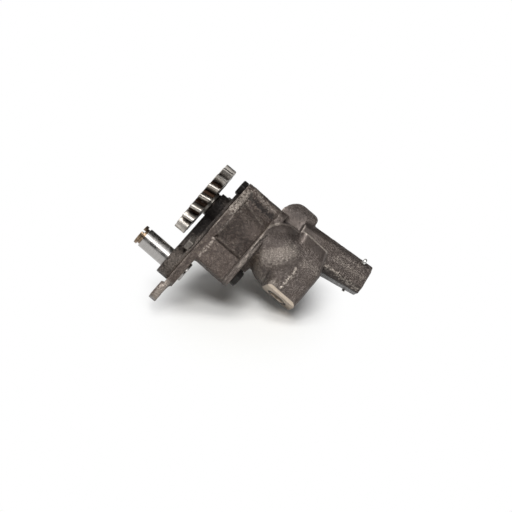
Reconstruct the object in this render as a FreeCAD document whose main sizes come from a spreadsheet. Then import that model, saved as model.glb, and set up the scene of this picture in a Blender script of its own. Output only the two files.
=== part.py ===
import FreeCAD, Part
import math
import os
import re
import Sketcher
from FreeCAD import Placement, Rotation, Vector

# Engine oil pump with a helical drive gear, an idler gear shaft and a relief valve.
# Millimetres. +X runs along the drive shaft from the drive gear to the relief valve, and +Z is up.
# The origin is on the idler shaft's axis, at the plate face that bolts to the engine.
# The drive shaft lies straight above it, and +Y points away from the side with the square boss.

doc = FreeCAD.newDocument("engine_oil_pump")
sheet = doc.addObject("Spreadsheet::Sheet", "sizes")
# Driving sizes, each with the sheet's own name for it
SIZES = {
    # Shaft layout
    "shaft_rise": 72.7,  # drive shaft above the idler shaft
    "shaft_radius": 8.0,  # drive shaft
    "running_gap": 0.03,  # radial clearance of a turning or sliding fit
    "fit_gap": 0.02,  # radial clearance of a fixed fit
    "bush_wall": 2.2,  # wall of the drive shaft's bushes

    # Pumping gears
    "pump_module": 3.25,  # module of the pumping gears
    "pump_teeth": 10,  # teeth on each pumping gear
    "pump_pressure": 27,  # pressure angle of the pumping gears, degrees
    "pump_width": 30.0,  # width of the pumping gears
    "pump_backlash": 0.16,  # taken off each pumping tooth at the pitch circle
    "side_gap": 0.1,  # clearance at each end of the pumping gears
    "tip_gap": 0.3,  # clearance over the pumping gears' tips
    "spindle_radius": 6.5,  # fixed spindle of the driven gear
    "spindle_bush_wall": 1.6,  # wall of the driven gear's bush

    # Drive gear
    "drive_module": 4.2,  # normal module of the drive gear
    "drive_teeth": 18,  # teeth on the drive gear
    "drive_helix": 11.3,  # helix angle of the drive gear, degrees
    "drive_turn": 7.4,  # how far the near side of the drive gear is turned up at rest, degrees
    "drive_width": 12.5,  # face width of the drive gear
    "drive_gear_gap": 4.3,  # from the cover's nose to the drive gear's face
    "drive_hub_radius": 13.5,  # hub of the drive gear
    "drive_rim_radius": 30.0,  # inside of the drive gear's rim
    "drive_web_recess": 2.2,  # depth of the recess each side of the web
    "key_width": 5.0,  # width of both shaft keys
    "key_length": 10.0,  # length of the drive gear's key
    "pump_key_length": 16.0,  # length of the pumping gear's key
    "key_inset": 1.2,  # from a gear's face to the end of its key
    "thrust_washer_thick": 1.5,  # thrust washer behind the drive gear
    "thrust_gap": 0.2,  # end play at the thrust washer

    # Pump body
    "plate_thick": 8.5,  # plate that bolts to the engine
    "body_length": 35.0,  # from the mounting face to the rear joint
    "chamber_wall": 4.0,  # wall round the gear chamber
    "plate_rim": 3.6,  # plate beyond the chamber wall
    "idler_pad_radius": 21.0,  # plate round the idler shaft
    "foot_drop": 42.8,  # lowest edge of the foot under the idler shaft
    "foot_half_width": 13.0,  # half the width of the foot
    "foot_thick": 8.6,  # thickness of the foot
    "foot_set_back": 2.8,  # relief behind the foot
    "foot_pad_top": 23.5,  # top of the foot's thick pad under the idler shaft
    "foot_hole_drop": 33.0,  # foot bolt hole under the idler shaft
    "mount_hole_radius": 5.5,  # holes for the engine's bolts
    "column_rise": 34.3,  # through bolt above the drive shaft
    "column_radius": 10.2,  # cast column round the through bolt
    "boss_face": 27.0,  # near face of the square boss from the drive shaft
    "boss_width": 22.0,  # square boss across the shaft
    "boss_top_drop": 28.8,  # top of the square boss under the drive shaft
    "boss_height": 29.0,  # square boss along Z
    "cast_corner": 3.0,  # corner radius of cast blocks
    "far_bolt_offset": 21.5,  # far bolts from the driven shaft, both ways
    "bolt_pad_radius": 10.0,  # cast pad round a bolt
    "side_ear_reach": 75.0,  # side mounting hole from the drive shaft
    "side_ear_drop": 2.0,  # side mounting hole under the drive shaft
    "ear_radius": 11.5,  # mounting ear
    "port_radius": 6.5,  # oil ports between the gears and the housing
    "port_rise": 14.5,  # oil ports above and below the gears' meshing line

    # Front cover
    "cover_thick": 3.5,  # flange of the front cover
    "cover_inset": 0.8,  # edge of the cover inside the edge of the plate
    "nose_length": 14.1,  # machined nose of the front cover in front of the joint
    "hub_radius": 16.4,  # nose round the drive shaft
    "nose_web_half": 7.0,  # half the width of the nose between the shafts
    "idler_boss_radius": 18.2,  # nose round the idler shaft
    "spindle_boss_radius": 11.0,  # cover boss over the driven spindle
    "spindle_boss_height": 9.0,  # cover boss in front of the joint
    "spotface_depth": 1.0,  # seat cut for a cover bolt
    "lower_bolt_side": 17.0,  # lower cover bolts each side of the shafts
    "near_bolt_drop": 49.3,  # near lower cover bolt under the drive shaft
    "far_bolt_drop": 36.5,  # far lower cover bolt under the drive shaft

    # Idler shaft
    "idler_radius": 11.0,  # idler shaft
    "idler_reach": 54.0,  # mounting face to the groove of the idler shaft
    "groove_width": 2.9,  # retaining groove of the idler shaft
    "groove_depth": 2.0,  # retaining groove of the idler shaft
    "collar_length": 3.1,  # end collar of the idler shaft
    "slot_width": 2.6,  # slot across the end of the idler shaft
    "spigot_length": 2.2,  # idler shaft proud of the mounting face
    "edge_chamfer": 0.5,  # chamfer on turned edges
    "press_step": 0.5,  # pressed middle of the idler shaft over its ends
    "slot_rise": 4.2,  # slot above the middle of the idler shaft
    "slot_turn": 11,  # slot turned about the idler shaft, degrees
    "oil_hole_radius": 3.0,  # oil hole along the idler shaft

    # Rear housing
    "gasket_thick": 0.5,  # gasket between body and housing
    "rear_flange_thick": 6.5,  # flange of the rear housing
    "lobe_thick": 8.6,  # rear flange round the through bolt
    "rear_bolt_drop": 44.7,  # near rear bolt under the drive shaft
    "dome_along": 34.0,  # centre of the dome behind the rear joint
    "dome_side": 2.5,  # centre of the dome from the shafts, near side
    "dome_rise": 3.5,  # centre of the dome above the drive shaft
    "dome_radius": 33.5,  # dome seen from the side
    "shoulder_along": 24.2,  # centre of the dome's upper shoulder behind the rear joint
    "shoulder_rise": 15.3,  # centre of the dome's upper shoulder above the drive shaft
    "shoulder_radius": 24.0,  # dome's upper shoulder
    "cavity_wall": 7.0,  # wall round the dome's hollow
    "duct_length": 14.0,  # cast duct between the rear flange and the dome
    "duct_wall": 8.0,  # wall round the duct
    "duct_radius": 15.0,  # duct where it opens into the dome
    "neck_front": 36.0,  # front of the outlet neck behind the rear joint
    "neck_length": 37.8,  # outlet neck along the shaft
    "neck_near": 33.0,  # near face of the outlet neck from the shafts
    "neck_width": 38.0,  # outlet neck across the shaft
    "neck_corner": 6.0,  # corner radius of the outlet neck
    "port_face_drop": 31.2,  # outlet face under the drive shaft
    "neck_shoulder": 11.3,  # height where the neck starts to close, above the drive shaft
    "neck_top": 38.4,  # top of the elbow above the drive shaft
    "neck_top_cut": 9.5,  # elbow's top edge inside the neck's rear face
    "outlet_side": 8.0,  # outlet bore from the shafts, near side
    "outlet_radius": 8.0,  # outlet bore
    "seal_radius": 9.4,  # inside of the outlet seal
    "seal_section": 1.0,  # section radius of the outlet seal
    "inlet_along": 18.3,  # inlet port behind the rear joint
    "inlet_rise": 48.3,  # inlet port above the drive shaft
    "inlet_boss_radius": 18.0,  # cast boss round the inlet port
    "inlet_shoulder": 31.4,  # rear corner of the inlet boss behind the rear joint
    "inlet_start": 4.0,  # near side of the inlet boss from the shafts
    "inlet_face": 44.0,  # inlet port face from the shafts, far side
    "inlet_radius": 12.0,  # inlet bore

    # Relief valve
    "valve_tilt": 8.8,  # barrel's slope, degrees
    "valve_end": 117.3,  # end of the barrel behind the rear joint
    "valve_end_rise": 49.6,  # end of the barrel above the drive shaft
    "valve_side": 20.0,  # barrel from the shafts, far side
    "barrel_length": 88.0,  # cast barrel
    "barrel_end_size": 33.5,  # barrel across flats at its end
    "barrel_root_size": 41.0,  # barrel across flats at its root
    "barrel_facet": 7.0,  # leg of the barrel's corner facets
    "valve_radius": 11.0,  # relief plunger
    "valve_bore_depth": 66.0,  # bore of the barrel
    "seat_radius": 7.5,  # hole that the plunger closes
    "plunger_length": 24.0,  # relief plunger
    "plunger_wall": 2.5,  # wall of the plunger's cup
    "plunger_travel": 9.0,  # travel of the plunger
    "spill_radius": 4.5,  # spill hole in the barrel
    "spring_wire": 1.3,  # wire radius of the relief spring
    "spring_radius": 6.6,  # mean radius of the relief spring
    "spring_turns": 6,  # turns of the relief spring
    "pin_inset": 12.0,  # cotter pin from the barrel's end
    "pin_radius": 1.9,  # cotter pin
    "cap_thick": 4.5,  # spring seat

    # Fasteners
    "bolt_radius": 5.0,  # all bolts
    "bolt_head_flats": 16.0,  # across the flats of a bolt head
    "bolt_head_height": 6.4,  # bolt head
    "bolt_clearance": 0.3,  # radial clearance of a bolt in a plain hole
    "thread_reach": 15.0,  # bolt in its threaded hole
    "dowel_radius": 3.0,  # dowel pins
    "dowel_length": 12.0,  # dowel pins
    "cover_dowel_rise": 21.5,  # cover dowels above and below the shafts
    "column_dowel_rise": 23.0,  # housing dowel under the through bolt, above the drive shaft
    "web_dowel_side": 9.0,  # housing dowel in the boss web, near side
    "web_dowel_drop": 27.0,  # housing dowel in the boss web, under the drive shaft
}
for row, (name, value) in enumerate(SIZES.items(), 1):
    sheet.set("A%d" % row, name)
    sheet.set("B%d" % row, str(value))
    sheet.setAlias("B%d" % row, name)
doc.recompute()

# Stations along X, as expressions of the sizes
JOINT = "-plate_thick"
NOSE = "-plate_thick - nose_length"
SEAT = "-plate_thick - cover_thick"
GEAR_BACK = "-plate_thick - nose_length - drive_gear_gap"
CHAMBER_END = "-plate_thick + pump_width + 2 * side_gap"
HOUSING = "body_length + gasket_thick"
FLANGE_BACK = "body_length + gasket_thick + rear_flange_thick"
DOME_CENTRE = HOUSING + " + dome_along"
NECK_START = HOUSING + " + neck_front"
NECK_END = NECK_START + " + neck_length"
INLET_CENTRE = HOUSING + " + inlet_along"
INLET_REAR = HOUSING + " + inlet_shoulder"
BARREL_END = HOUSING + " + valve_end"
GEAR_CENTRES = "pump_module * pump_teeth"
CHAMBER = "pump_module * (pump_teeth / 2 + 1) + tip_gap"
BARREL_WALL = CHAMBER + " + chamber_wall"
PLATE_EDGE = BARREL_WALL + " + plate_rim"

# Places across the shafts, as (Y, Z)
IDLER = ("0", "0")
DRIVE = ("0", "shaft_rise")
DRIVEN = (GEAR_CENTRES, "shaft_rise")
THROUGH = ("0", "shaft_rise + column_rise")
COVER_NEAR = ("-lower_bolt_side", "shaft_rise - near_bolt_drop")
COVER_FAR = ("lower_bolt_side", "shaft_rise - far_bolt_drop")
FAR_LOW = (GEAR_CENTRES + " + far_bolt_offset", "shaft_rise - far_bolt_offset")
FAR_HIGH = (GEAR_CENTRES + " + far_bolt_offset", "shaft_rise + far_bolt_offset")
REAR_NEAR = ("-boss_face + bolt_pad_radius", "shaft_rise - rear_bolt_drop")
FOOT_HOLE = ("0", "-foot_hole_drop")
SIDE_HOLE = ("side_ear_reach", "shaft_rise - side_ear_drop")
PORT_LOW = (GEAR_CENTRES + " / 2", "shaft_rise - port_rise")
PORT_HIGH = (GEAR_CENTRES + " / 2", "shaft_rise + port_rise")
COVER_DOWEL_LOW = (GEAR_CENTRES + " / 2", "shaft_rise - cover_dowel_rise")
COVER_DOWEL_HIGH = (GEAR_CENTRES + " / 2", "shaft_rise + cover_dowel_rise")
HOUSING_DOWEL_COLUMN = ("0", "shaft_rise + column_dowel_rise")
HOUSING_DOWEL_WEB = ("-web_dowel_side", "shaft_rise - web_dowel_drop")

LAY_ALONG_X = Rotation(Vector(0, 1, 0), 90)
LAY_ALONG_Y = Rotation(Vector(1, 0, 0), -90)
STAND = Rotation()


def bound(text):
    """Puts the sheet's name before every size that an expression names."""
    return re.sub(r"[a-z_]+", lambda word: ("sizes." if word.group() in SIZES else "") + word.group(), text)


def number(text):
    """Works out an expression of the sizes now, in millimetres."""
    return float(sheet.evalExpression(bound(text)))


def new_body(label):
    """Starts a piece with its own label, which is also its file's name."""
    body = doc.addObject("PartDesign::Body", label)
    body.Label = label
    return body


def outline(body, name, plane, offset, rounds, centre=("0", "0"), slope="0"):
    """A closed outline drawn tight round circles, each (across, up, radius), counter-clockwise."""
    sketch = body.newObject("Sketcher::SketchObject", name)
    role = {feature.Role: feature for feature in body.Origin.OriginFeatures}
    sketch.AttachmentSupport = [(role[plane], "")]
    sketch.MapMode = "FlatFace"
    sketch.AttachmentOffset = Placement(Vector(), Rotation(Vector(1, 0, 0), number(slope)))
    sketch.setExpression("AttachmentOffset.Base.x", bound(centre[0]))
    sketch.setExpression("AttachmentOffset.Base.y", bound(centre[1]))
    sketch.setExpression("AttachmentOffset.Base.z", bound(offset))
    if slope != "0":
        sketch.setExpression("AttachmentOffset.Rotation.Angle", bound(slope))
    normal = Vector(0, 0, 1)
    centres = [Vector(number(across), number(up), 0) for across, up, radius in rounds]
    radii = [number(radius) for across, up, radius in rounds]
    count = len(rounds)
    outward = []
    for index in range(count if count > 1 else 0):
        span = centres[(index + 1) % count] - centres[index]
        lean = (radii[index] - radii[(index + 1) % count]) / span.Length
        ahead = Vector(span).normalize()
        right = Vector(ahead.y, -ahead.x, 0)
        outward.append(right * math.sqrt(1 - lean * lean) + ahead * lean)
    for index in range(count):
        circle = Part.Circle(centres[index], normal, radii[index])
        if count == 1:
            sketch.addGeometry(circle, False)
            continue
        before = outward[index - 1]
        after = outward[index]
        first = math.atan2(before.y, before.x)
        last = math.atan2(after.y, after.x)
        if last < first:
            last += 2 * math.pi
        sketch.addGeometry(Part.ArcOfCircle(circle, first, last), False)
    for index in range(count if count > 1 else 0):
        start = centres[index] + outward[index] * radii[index]
        end = centres[(index + 1) % count] + outward[index] * radii[(index + 1) % count]
        sketch.addGeometry(Part.LineSegment(start, end), False)
        sketch.addConstraint(Sketcher.Constraint("Tangent", index, 2, count + index, 1))
        sketch.addConstraint(Sketcher.Constraint("Tangent", count + index, 2, (index + 1) % count, 1))
    for index, (across, up, radius) in enumerate(rounds):
        centre = centres[index]
        for kind, text, value in (("DistanceX", across, centre.x), ("DistanceY", up, centre.y)):
            place = sketch.addConstraint(Sketcher.Constraint(kind, -1, 1, index, 3, value))
            sketch.setExpression("Constraints[%d]" % place, bound(text))
        place = sketch.addConstraint(Sketcher.Constraint("Radius", index, radii[index]))
        sketch.setExpression("Constraints[%d]" % place, bound(radius))
    return sketch


def pad(body, name, plane, offset, length, rounds):
    """Adds a plate or block: an outline pulled along its plane's normal."""
    feature = body.newObject("PartDesign::Pad", name)
    feature.Profile = outline(body, name + "_outline", plane, offset, rounds)
    feature.setExpression("Length", bound(length))
    return feature


def cut(body, name, plane, offset, length, rounds):
    """Cuts an outline out of the piece, along its plane's normal."""
    feature = body.newObject("PartDesign::Pocket", name)
    feature.Profile = outline(body, name + "_outline", plane, offset, rounds)
    feature.setExpression("Length", bound(length))
    feature.Reversed = True
    return feature


def solid(body, kind, name, place, turn, **sizes):
    """Adds or cuts a primitive, such as AdditiveCylinder, at a place given as three expressions."""
    feature = body.newObject("PartDesign::" + kind, name)
    feature.Placement = Placement(Vector(), turn)
    for axis, text in zip("xyz", place):
        feature.setExpression("Placement.Base." + axis, bound(text))
    for key, text in sizes.items():
        feature.setExpression(key, bound(text))
    return feature


def bore(body, name, centre, start, length, radius):
    """Cuts a round hole along X."""
    place = (start, centre[0], centre[1])
    return solid(body, "SubtractiveCylinder", name, place, LAY_ALONG_X, Radius=radius, Height=length)


def peg(body, name, centre, start, length, radius):
    """Adds a round bar along X."""
    place = (start, centre[0], centre[1])
    return solid(body, "AdditiveCylinder", name, place, LAY_ALONG_X, Radius=radius, Height=length)


def at(centre, radius):
    """One round of an outline, from a place across the shafts."""
    return (centre[0], centre[1], radius)


def turned(label, profile, place=("0", "0", "0")):
    """A turned piece about the X axis, from corners given as (along, radius)."""
    body = new_body(label)
    sketch = body.newObject("Sketcher::SketchObject", label + "_profile")
    role = {feature.Role: feature for feature in body.Origin.OriginFeatures}
    sketch.AttachmentSupport = [(role["XY_Plane"], "")]
    sketch.MapMode = "FlatFace"
    corners = [Vector(number(along), number(radius), 0) for along, radius in profile]
    count = len(profile)
    for index in range(count):
        sketch.addGeometry(Part.LineSegment(corners[index], corners[(index + 1) % count]), False)
    for index in range(count):
        following = (index + 1) % count
        sketch.addConstraint(Sketcher.Constraint("Coincident", index, 2, following, 1))
    for index, (along, radius) in enumerate(profile):
        corner = corners[index]
        for kind, text, value in (("DistanceX", along, corner.x), ("DistanceY", radius, corner.y)):
            mark = sketch.addConstraint(Sketcher.Constraint(kind, -1, 1, index, 1, value))
            sketch.setExpression("Constraints[%d]" % mark, bound(text))
    spin = body.newObject("PartDesign::Revolution", label + "_turned")
    spin.Profile = sketch
    spin.ReferenceAxis = (role["X_Axis"], [""])
    spin.Angle = 360
    for axis, text in zip("xyz", place):
        body.setExpression("Placement.Base." + axis, bound(text))
    return body


def gear_wire(along, turn, teeth, module, pressure, addendum, dedendum, thinning):
    """The outline of an involute gear in the plane X = along, turned about X."""
    pitch = teeth * module / 2
    base = pitch * math.cos(pressure)
    tip = pitch + addendum
    root = pitch - dedendum
    start = max(base, root) * 1.002
    half_at_pitch = math.pi / (2 * teeth) - thinning / (2 * pitch)

    def half_angle(radius):
        opening = math.acos(base / radius)
        return half_at_pitch + math.tan(pressure) - pressure - (math.tan(opening) - opening)

    def spot(radius, angle):
        return Vector(along, radius * math.cos(angle), radius * math.sin(angle))

    steps = 5
    radii = [start + (tip - start) * step / (steps - 1) for step in range(steps)]
    edges = []
    for tooth in range(int(teeth)):
        middle = turn + 2 * math.pi * tooth / teeth
        rising = [spot(radius, middle - half_angle(radius)) for radius in radii]
        falling = [spot(radius, middle + half_angle(radius)) for radius in reversed(radii)]
        foot = spot(root, middle - half_angle(start))
        heel = spot(root, middle + half_angle(start))
        next_foot = spot(root, middle + 2 * math.pi / teeth - half_angle(start))
        edges.append(Part.makeLine(foot, rising[0]))
        flank = Part.BSplineCurve()
        flank.interpolate(rising)
        edges.append(flank.toShape())
        edges.append(Part.Arc(rising[-1], spot(tip, middle), falling[0]).toShape())
        flank = Part.BSplineCurve()
        flank.interpolate(falling)
        edges.append(flank.toShape())
        edges.append(Part.makeLine(falling[-1], heel))
        edges.append(Part.Arc(heel, spot(root, middle + math.pi / teeth), next_foot).toShape())
    return Part.Wire(edges)


def bar(start, length, radius):
    """A round bar along X, on the axis."""
    return Part.makeCylinder(radius, length, Vector(start, 0, 0), Vector(1, 0, 0))


def feature(label, shape, place=(0, 0, 0)):
    """A piece whose shape is worked out here."""
    piece = doc.addObject("Part::Feature", label)
    piece.Label = label
    piece.Shape = shape
    piece.Placement = Placement(Vector(*place), Rotation())
    return piece


# Pump body: plate, foot and ears, gear chamber, bolt column and square boss
pump_body = new_body("pump_body")
pad(pump_body, "plate_over_gears", "YZ_Plane", JOINT, "plate_thick", [
    at(DRIVE, PLATE_EDGE),
    at(DRIVEN, PLATE_EDGE),
])
pad(pump_body, "plate_down_to_idler", "YZ_Plane", JOINT, "plate_thick", [
    at(IDLER, "idler_pad_radius"),
    at(COVER_FAR, "bolt_pad_radius"),
    at(DRIVE, PLATE_EDGE),
    at(COVER_NEAR, "bolt_pad_radius"),
])
FOOT_END = [
    ("-foot_half_width + cast_corner", "-foot_drop + cast_corner", "cast_corner"),
    ("foot_half_width - cast_corner", "-foot_drop + cast_corner", "cast_corner"),
]
pad(pump_body, "foot", "YZ_Plane", JOINT, "plate_thick - foot_set_back", FOOT_END + [
    ("idler_pad_radius / 4", "0", "idler_pad_radius / 2"),
    ("-idler_pad_radius / 4", "0", "idler_pad_radius / 2"),
])
pad(pump_body, "foot_pad", "YZ_Plane", "-foot_set_back - foot_thick", "foot_thick", FOOT_END + [
    ("foot_half_width - cast_corner", "-foot_pad_top - cast_corner", "cast_corner"),
    ("-foot_half_width + cast_corner", "-foot_pad_top - cast_corner", "cast_corner"),
])
pad(pump_body, "plate_top", "YZ_Plane", JOINT, "plate_thick", [
    at(DRIVE, BARREL_WALL),
    at(THROUGH, "column_radius"),
])
pad(pump_body, "plate_far_side", "YZ_Plane", JOINT, "plate_thick", [
    at(DRIVE, "hub_radius"),
    at(FAR_LOW, "bolt_pad_radius"),
    at(FAR_HIGH, "bolt_pad_radius"),
])
pad(pump_body, "side_ear", "YZ_Plane", JOINT, "plate_thick", [
    at(DRIVEN, "hub_radius"),
    at(SIDE_HOLE, "ear_radius"),
])
pad(pump_body, "chamber_housing", "YZ_Plane", "0", "body_length", [
    at(DRIVE, BARREL_WALL),
    at(DRIVEN, BARREL_WALL),
])
pad(pump_body, "bolt_column", "YZ_Plane", "0", "body_length", [
    ("0", "shaft_rise", "column_radius"),
    at(THROUGH, "column_radius"),
])
BOSS_NEAR = "-boss_face + cast_corner"
BOSS_FAR = "-boss_face + boss_width - cast_corner"
BOSS_LOW = "shaft_rise - boss_top_drop - boss_height + cast_corner"
BOSS_TOP = "shaft_rise - boss_top_drop - cast_corner"
pad(pump_body, "square_boss", "YZ_Plane", "0", "body_length", [
    (BOSS_NEAR, BOSS_LOW, "cast_corner"),
    (BOSS_FAR, BOSS_LOW, "cast_corner"),
    (BOSS_FAR, BOSS_TOP, "cast_corner"),
    (BOSS_NEAR, BOSS_TOP, "cast_corner"),
])
pad(pump_body, "boss_web", "YZ_Plane", "0", "body_length", [
    ("-boss_face + boss_width / 2", "shaft_rise - boss_top_drop - boss_height / 2", "boss_width / 3"),
    ("boss_width / 3", "shaft_rise - boss_top_drop", "boss_width / 4"),
    ("0", "shaft_rise", "hub_radius"),
])
for place, centre in (("low", FAR_LOW), ("high", FAR_HIGH)):
    pad(pump_body, "far_bolt_pad_" + place, "YZ_Plane", "0", "body_length", [
        at(DRIVEN, "bolt_pad_radius"),
        at(centre, "bolt_pad_radius"),
    ])
pad(pump_body, "far_lower_pad", "YZ_Plane", "0", "thread_reach", [
    at(COVER_FAR, "bolt_pad_radius"),
    at(DRIVE, "hub_radius"),
])
cut(pump_body, "gear_chamber", "YZ_Plane", JOINT, "pump_width + 2 * side_gap", [at(DRIVE, CHAMBER)])
cut(pump_body, "driven_chamber", "YZ_Plane", JOINT, "pump_width + 2 * side_gap", [at(DRIVEN, CHAMBER)])
bore(pump_body, "shaft_bush_bore", DRIVE, JOINT, "plate_thick + body_length", "shaft_radius + bush_wall + fit_gap")
bore(pump_body, "spindle_bore", DRIVEN, JOINT, "plate_thick + body_length", "spindle_radius + fit_gap")
for place, centre in (("low", PORT_LOW), ("high", PORT_HIGH)):
    bore(pump_body, "port_" + place, centre, CHAMBER_END, "body_length - (" + CHAMBER_END + ")", "port_radius")
bore(pump_body, "idler_bore", IDLER, JOINT, "plate_thick", "idler_radius + press_step + fit_gap")
bore(pump_body, "foot_hole", FOOT_HOLE, "-foot_set_back - foot_thick", "foot_thick", "mount_hole_radius")
bore(pump_body, "side_hole", SIDE_HOLE, JOINT, "plate_thick", "mount_hole_radius")
bore(pump_body, "through_hole", THROUGH, JOINT, "plate_thick + body_length", "bolt_radius + bolt_clearance")
for place, centre in (("near", COVER_NEAR), ("far", COVER_FAR), ("low", FAR_LOW), ("high", FAR_HIGH)):
    bore(pump_body, "front_thread_" + place, centre, JOINT, "thread_reach", "bolt_radius + fit_gap")
for place, centre in (("near", REAR_NEAR), ("low", FAR_LOW), ("high", FAR_HIGH)):
    bore(pump_body, "rear_thread_" + place, centre, "body_length - thread_reach", "thread_reach", "bolt_radius + fit_gap")

for centre, mark in ((COVER_DOWEL_LOW, "low"), (COVER_DOWEL_HIGH, "high")):
    bore(pump_body, "cover_dowel_hole_" + mark, centre, JOINT, "dowel_length - cover_thick", "dowel_radius + fit_gap")
for centre, mark in ((HOUSING_DOWEL_COLUMN, "column"), (HOUSING_DOWEL_WEB, "web")):
    bore(pump_body, "housing_dowel_hole_" + mark, centre, "body_length - dowel_length / 2", "dowel_length / 2",
         "dowel_radius + fit_gap")

# Front cover: a thin flange and a machined nose that carries the idler shaft and the drive shaft
front_cover = new_body("front_cover")
COVER_EDGE = PLATE_EDGE + " - cover_inset"
COVER_PAD = "bolt_pad_radius - cover_inset"
pad(front_cover, "flange_over_gears", "YZ_Plane", SEAT, "cover_thick", [at(DRIVE, COVER_EDGE), at(DRIVEN, COVER_EDGE)])
pad(front_cover, "flange_down_to_idler", "YZ_Plane", SEAT, "cover_thick", [
    at(IDLER, "idler_boss_radius"),
    at(COVER_FAR, COVER_PAD),
    at(DRIVE, COVER_EDGE),
    at(COVER_NEAR, COVER_PAD),
])
pad(front_cover, "flange_far_side", "YZ_Plane", SEAT, "cover_thick", [
    at(DRIVE, "hub_radius"),
    at(FAR_LOW, COVER_PAD),
    at(FAR_HIGH, COVER_PAD),
])
pad(front_cover, "spindle_boss", "YZ_Plane", JOINT + " - spindle_boss_height", "spindle_boss_height", [
    at(DRIVE, "nose_web_half"),
    at(DRIVEN, "spindle_boss_radius"),
])
nose_web = pad(front_cover, "nose_web", "YZ_Plane", NOSE, "nose_length", [
    at(IDLER, "nose_web_half"),
    at(DRIVE, "nose_web_half"),
])
nose_hub = pad(front_cover, "nose_hub", "YZ_Plane", NOSE, "nose_length", [at(DRIVE, "hub_radius")])
nose_boss = pad(front_cover, "nose_idler_boss", "YZ_Plane", NOSE, "nose_length", [at(IDLER, "idler_boss_radius")])
bore(front_cover, "shaft_bush_bore", DRIVE, NOSE, "nose_length", "shaft_radius + bush_wall + fit_gap")
bore(front_cover, "idler_bore", IDLER, NOSE, "nose_length", "idler_radius + press_step + fit_gap")
bore(front_cover, "spindle_bore", DRIVEN, JOINT + " - spindle_boss_height / 2", "spindle_boss_height / 2",
     "spindle_radius + fit_gap")
bore(front_cover, "through_bolt_clearance", THROUGH, SEAT, "cover_thick", "column_radius")
for centre, mark in ((COVER_DOWEL_LOW, "low"), (COVER_DOWEL_HIGH, "high")):
    bore(front_cover, "dowel_hole_" + mark, centre, SEAT, "cover_thick", "dowel_radius + fit_gap")
for place, centre in (("near", COVER_NEAR), ("far", COVER_FAR), ("low", FAR_LOW), ("high", FAR_HIGH)):
    bore(front_cover, "bolt_hole_" + place, centre, SEAT, "cover_thick", "bolt_radius + bolt_clearance")
    bore(front_cover, "spotface_" + place, centre, SEAT + " - bolt_head_height", "bolt_head_height + spotface_depth",
         "bolt_head_flats / 2 + 1.5")

# Rear joint face, shared by the gasket and the housing's flange


def rear_face(body, start, length):
    """Adds the outline of the rear joint: chambers, square boss and bolt pads."""
    pad(body, "rear_chambers", "YZ_Plane", start, length, [at(DRIVE, BARREL_WALL), at(DRIVEN, BARREL_WALL)])
    pad(body, "rear_boss", "YZ_Plane", start, length, [
        (BOSS_NEAR, BOSS_LOW, "cast_corner"),
        (BOSS_FAR, BOSS_LOW, "cast_corner"),
        ("boss_width / 3", "shaft_rise - boss_top_drop", "boss_width / 4"),
        ("0", "shaft_rise", "hub_radius"),
        (BOSS_NEAR, "shaft_rise - cast_corner", "cast_corner"),
    ])
    pad(body, "rear_column", "YZ_Plane", start, length, [at(DRIVE, "column_radius"), at(THROUGH, "column_radius")])
    pad(body, "rear_far_pads", "YZ_Plane", start, length, [
        at(DRIVE, "hub_radius"),
        at(FAR_LOW, "bolt_pad_radius"),
        at(FAR_HIGH, "bolt_pad_radius"),
    ])


def rear_holes(body, start, length, through_radius):
    """Cuts the ports, bolt holes and dowel holes of the rear joint."""
    for mark, centre in (("low", PORT_LOW), ("high", PORT_HIGH)):
        bore(body, "port_" + mark, centre, start, length, "port_radius")
    for mark, centre in (("near", REAR_NEAR), ("low", FAR_LOW), ("high", FAR_HIGH)):
        bore(body, "bolt_hole_" + mark, centre, start, length, "bolt_radius + bolt_clearance")
    bore(body, "through_hole", THROUGH, start, "lobe_thick", through_radius)
    for mark, centre in (("column", HOUSING_DOWEL_COLUMN), ("web", HOUSING_DOWEL_WEB)):
        bore(body, "dowel_hole_" + mark, centre, start, "dowel_length / 2", "dowel_radius + fit_gap")


rear_gasket = new_body("rear_gasket")
rear_face(rear_gasket, "body_length", "gasket_thick")
rear_holes(rear_gasket, "body_length", "gasket_thick", "bolt_radius + bolt_clearance")

# Rear housing: flange, domed elbow, outlet neck, inlet boss and relief barrel
rear_housing = new_body("rear_housing")
DOME = ("-dome_side", "shaft_rise + dome_rise")
rear_face(rear_housing, HOUSING, "rear_flange_thick")
peg(rear_housing, "through_lobe", THROUGH, HOUSING, "lobe_thick", "column_radius")
pad(rear_housing, "duct", "YZ_Plane", HOUSING, "duct_length", [
    at(DOME, "duct_radius + duct_wall"),
    at(PORT_LOW, "port_radius + duct_wall"),
])
solid(rear_housing, "AdditiveSphere", "dome", (DOME_CENTRE,) + DOME, LAY_ALONG_X, Radius="dome_radius")
solid(rear_housing, "AdditiveSphere", "dome_shoulder",
      (HOUSING + " + shoulder_along", DOME[0], "shaft_rise + shoulder_rise"), LAY_ALONG_X, Radius="shoulder_radius")
NECK = [
    (NECK_START + " + neck_corner", "-neck_near + neck_corner", "neck_corner"),
    (NECK_END + " - neck_corner", "-neck_near + neck_corner", "neck_corner"),
    (NECK_END + " - neck_corner", "-neck_near + neck_width - neck_corner", "neck_corner"),
    (NECK_START + " + neck_corner", "-neck_near + neck_width - neck_corner", "neck_corner"),
]
NECK_TOP = [
    (NECK_START, "-neck_near + 2 * neck_corner", "neck_corner"),
    (NECK_END + " - neck_top_cut - neck_corner", "-neck_near + 2 * neck_corner", "neck_corner"),
    (NECK_END + " - neck_top_cut - neck_corner", "-neck_near + neck_width - neck_corner", "neck_corner"),
    (NECK_START, "-neck_near + neck_width - neck_corner", "neck_corner"),
]
pad(rear_housing, "outlet_neck", "XY_Plane", "shaft_rise - port_face_drop", "port_face_drop + neck_shoulder", NECK)
shoulder = rear_housing.newObject("PartDesign::AdditiveLoft", "elbow_top")
shoulder.Profile = outline(rear_housing, "elbow_shoulder", "XY_Plane", "shaft_rise + neck_shoulder", NECK)
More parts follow.
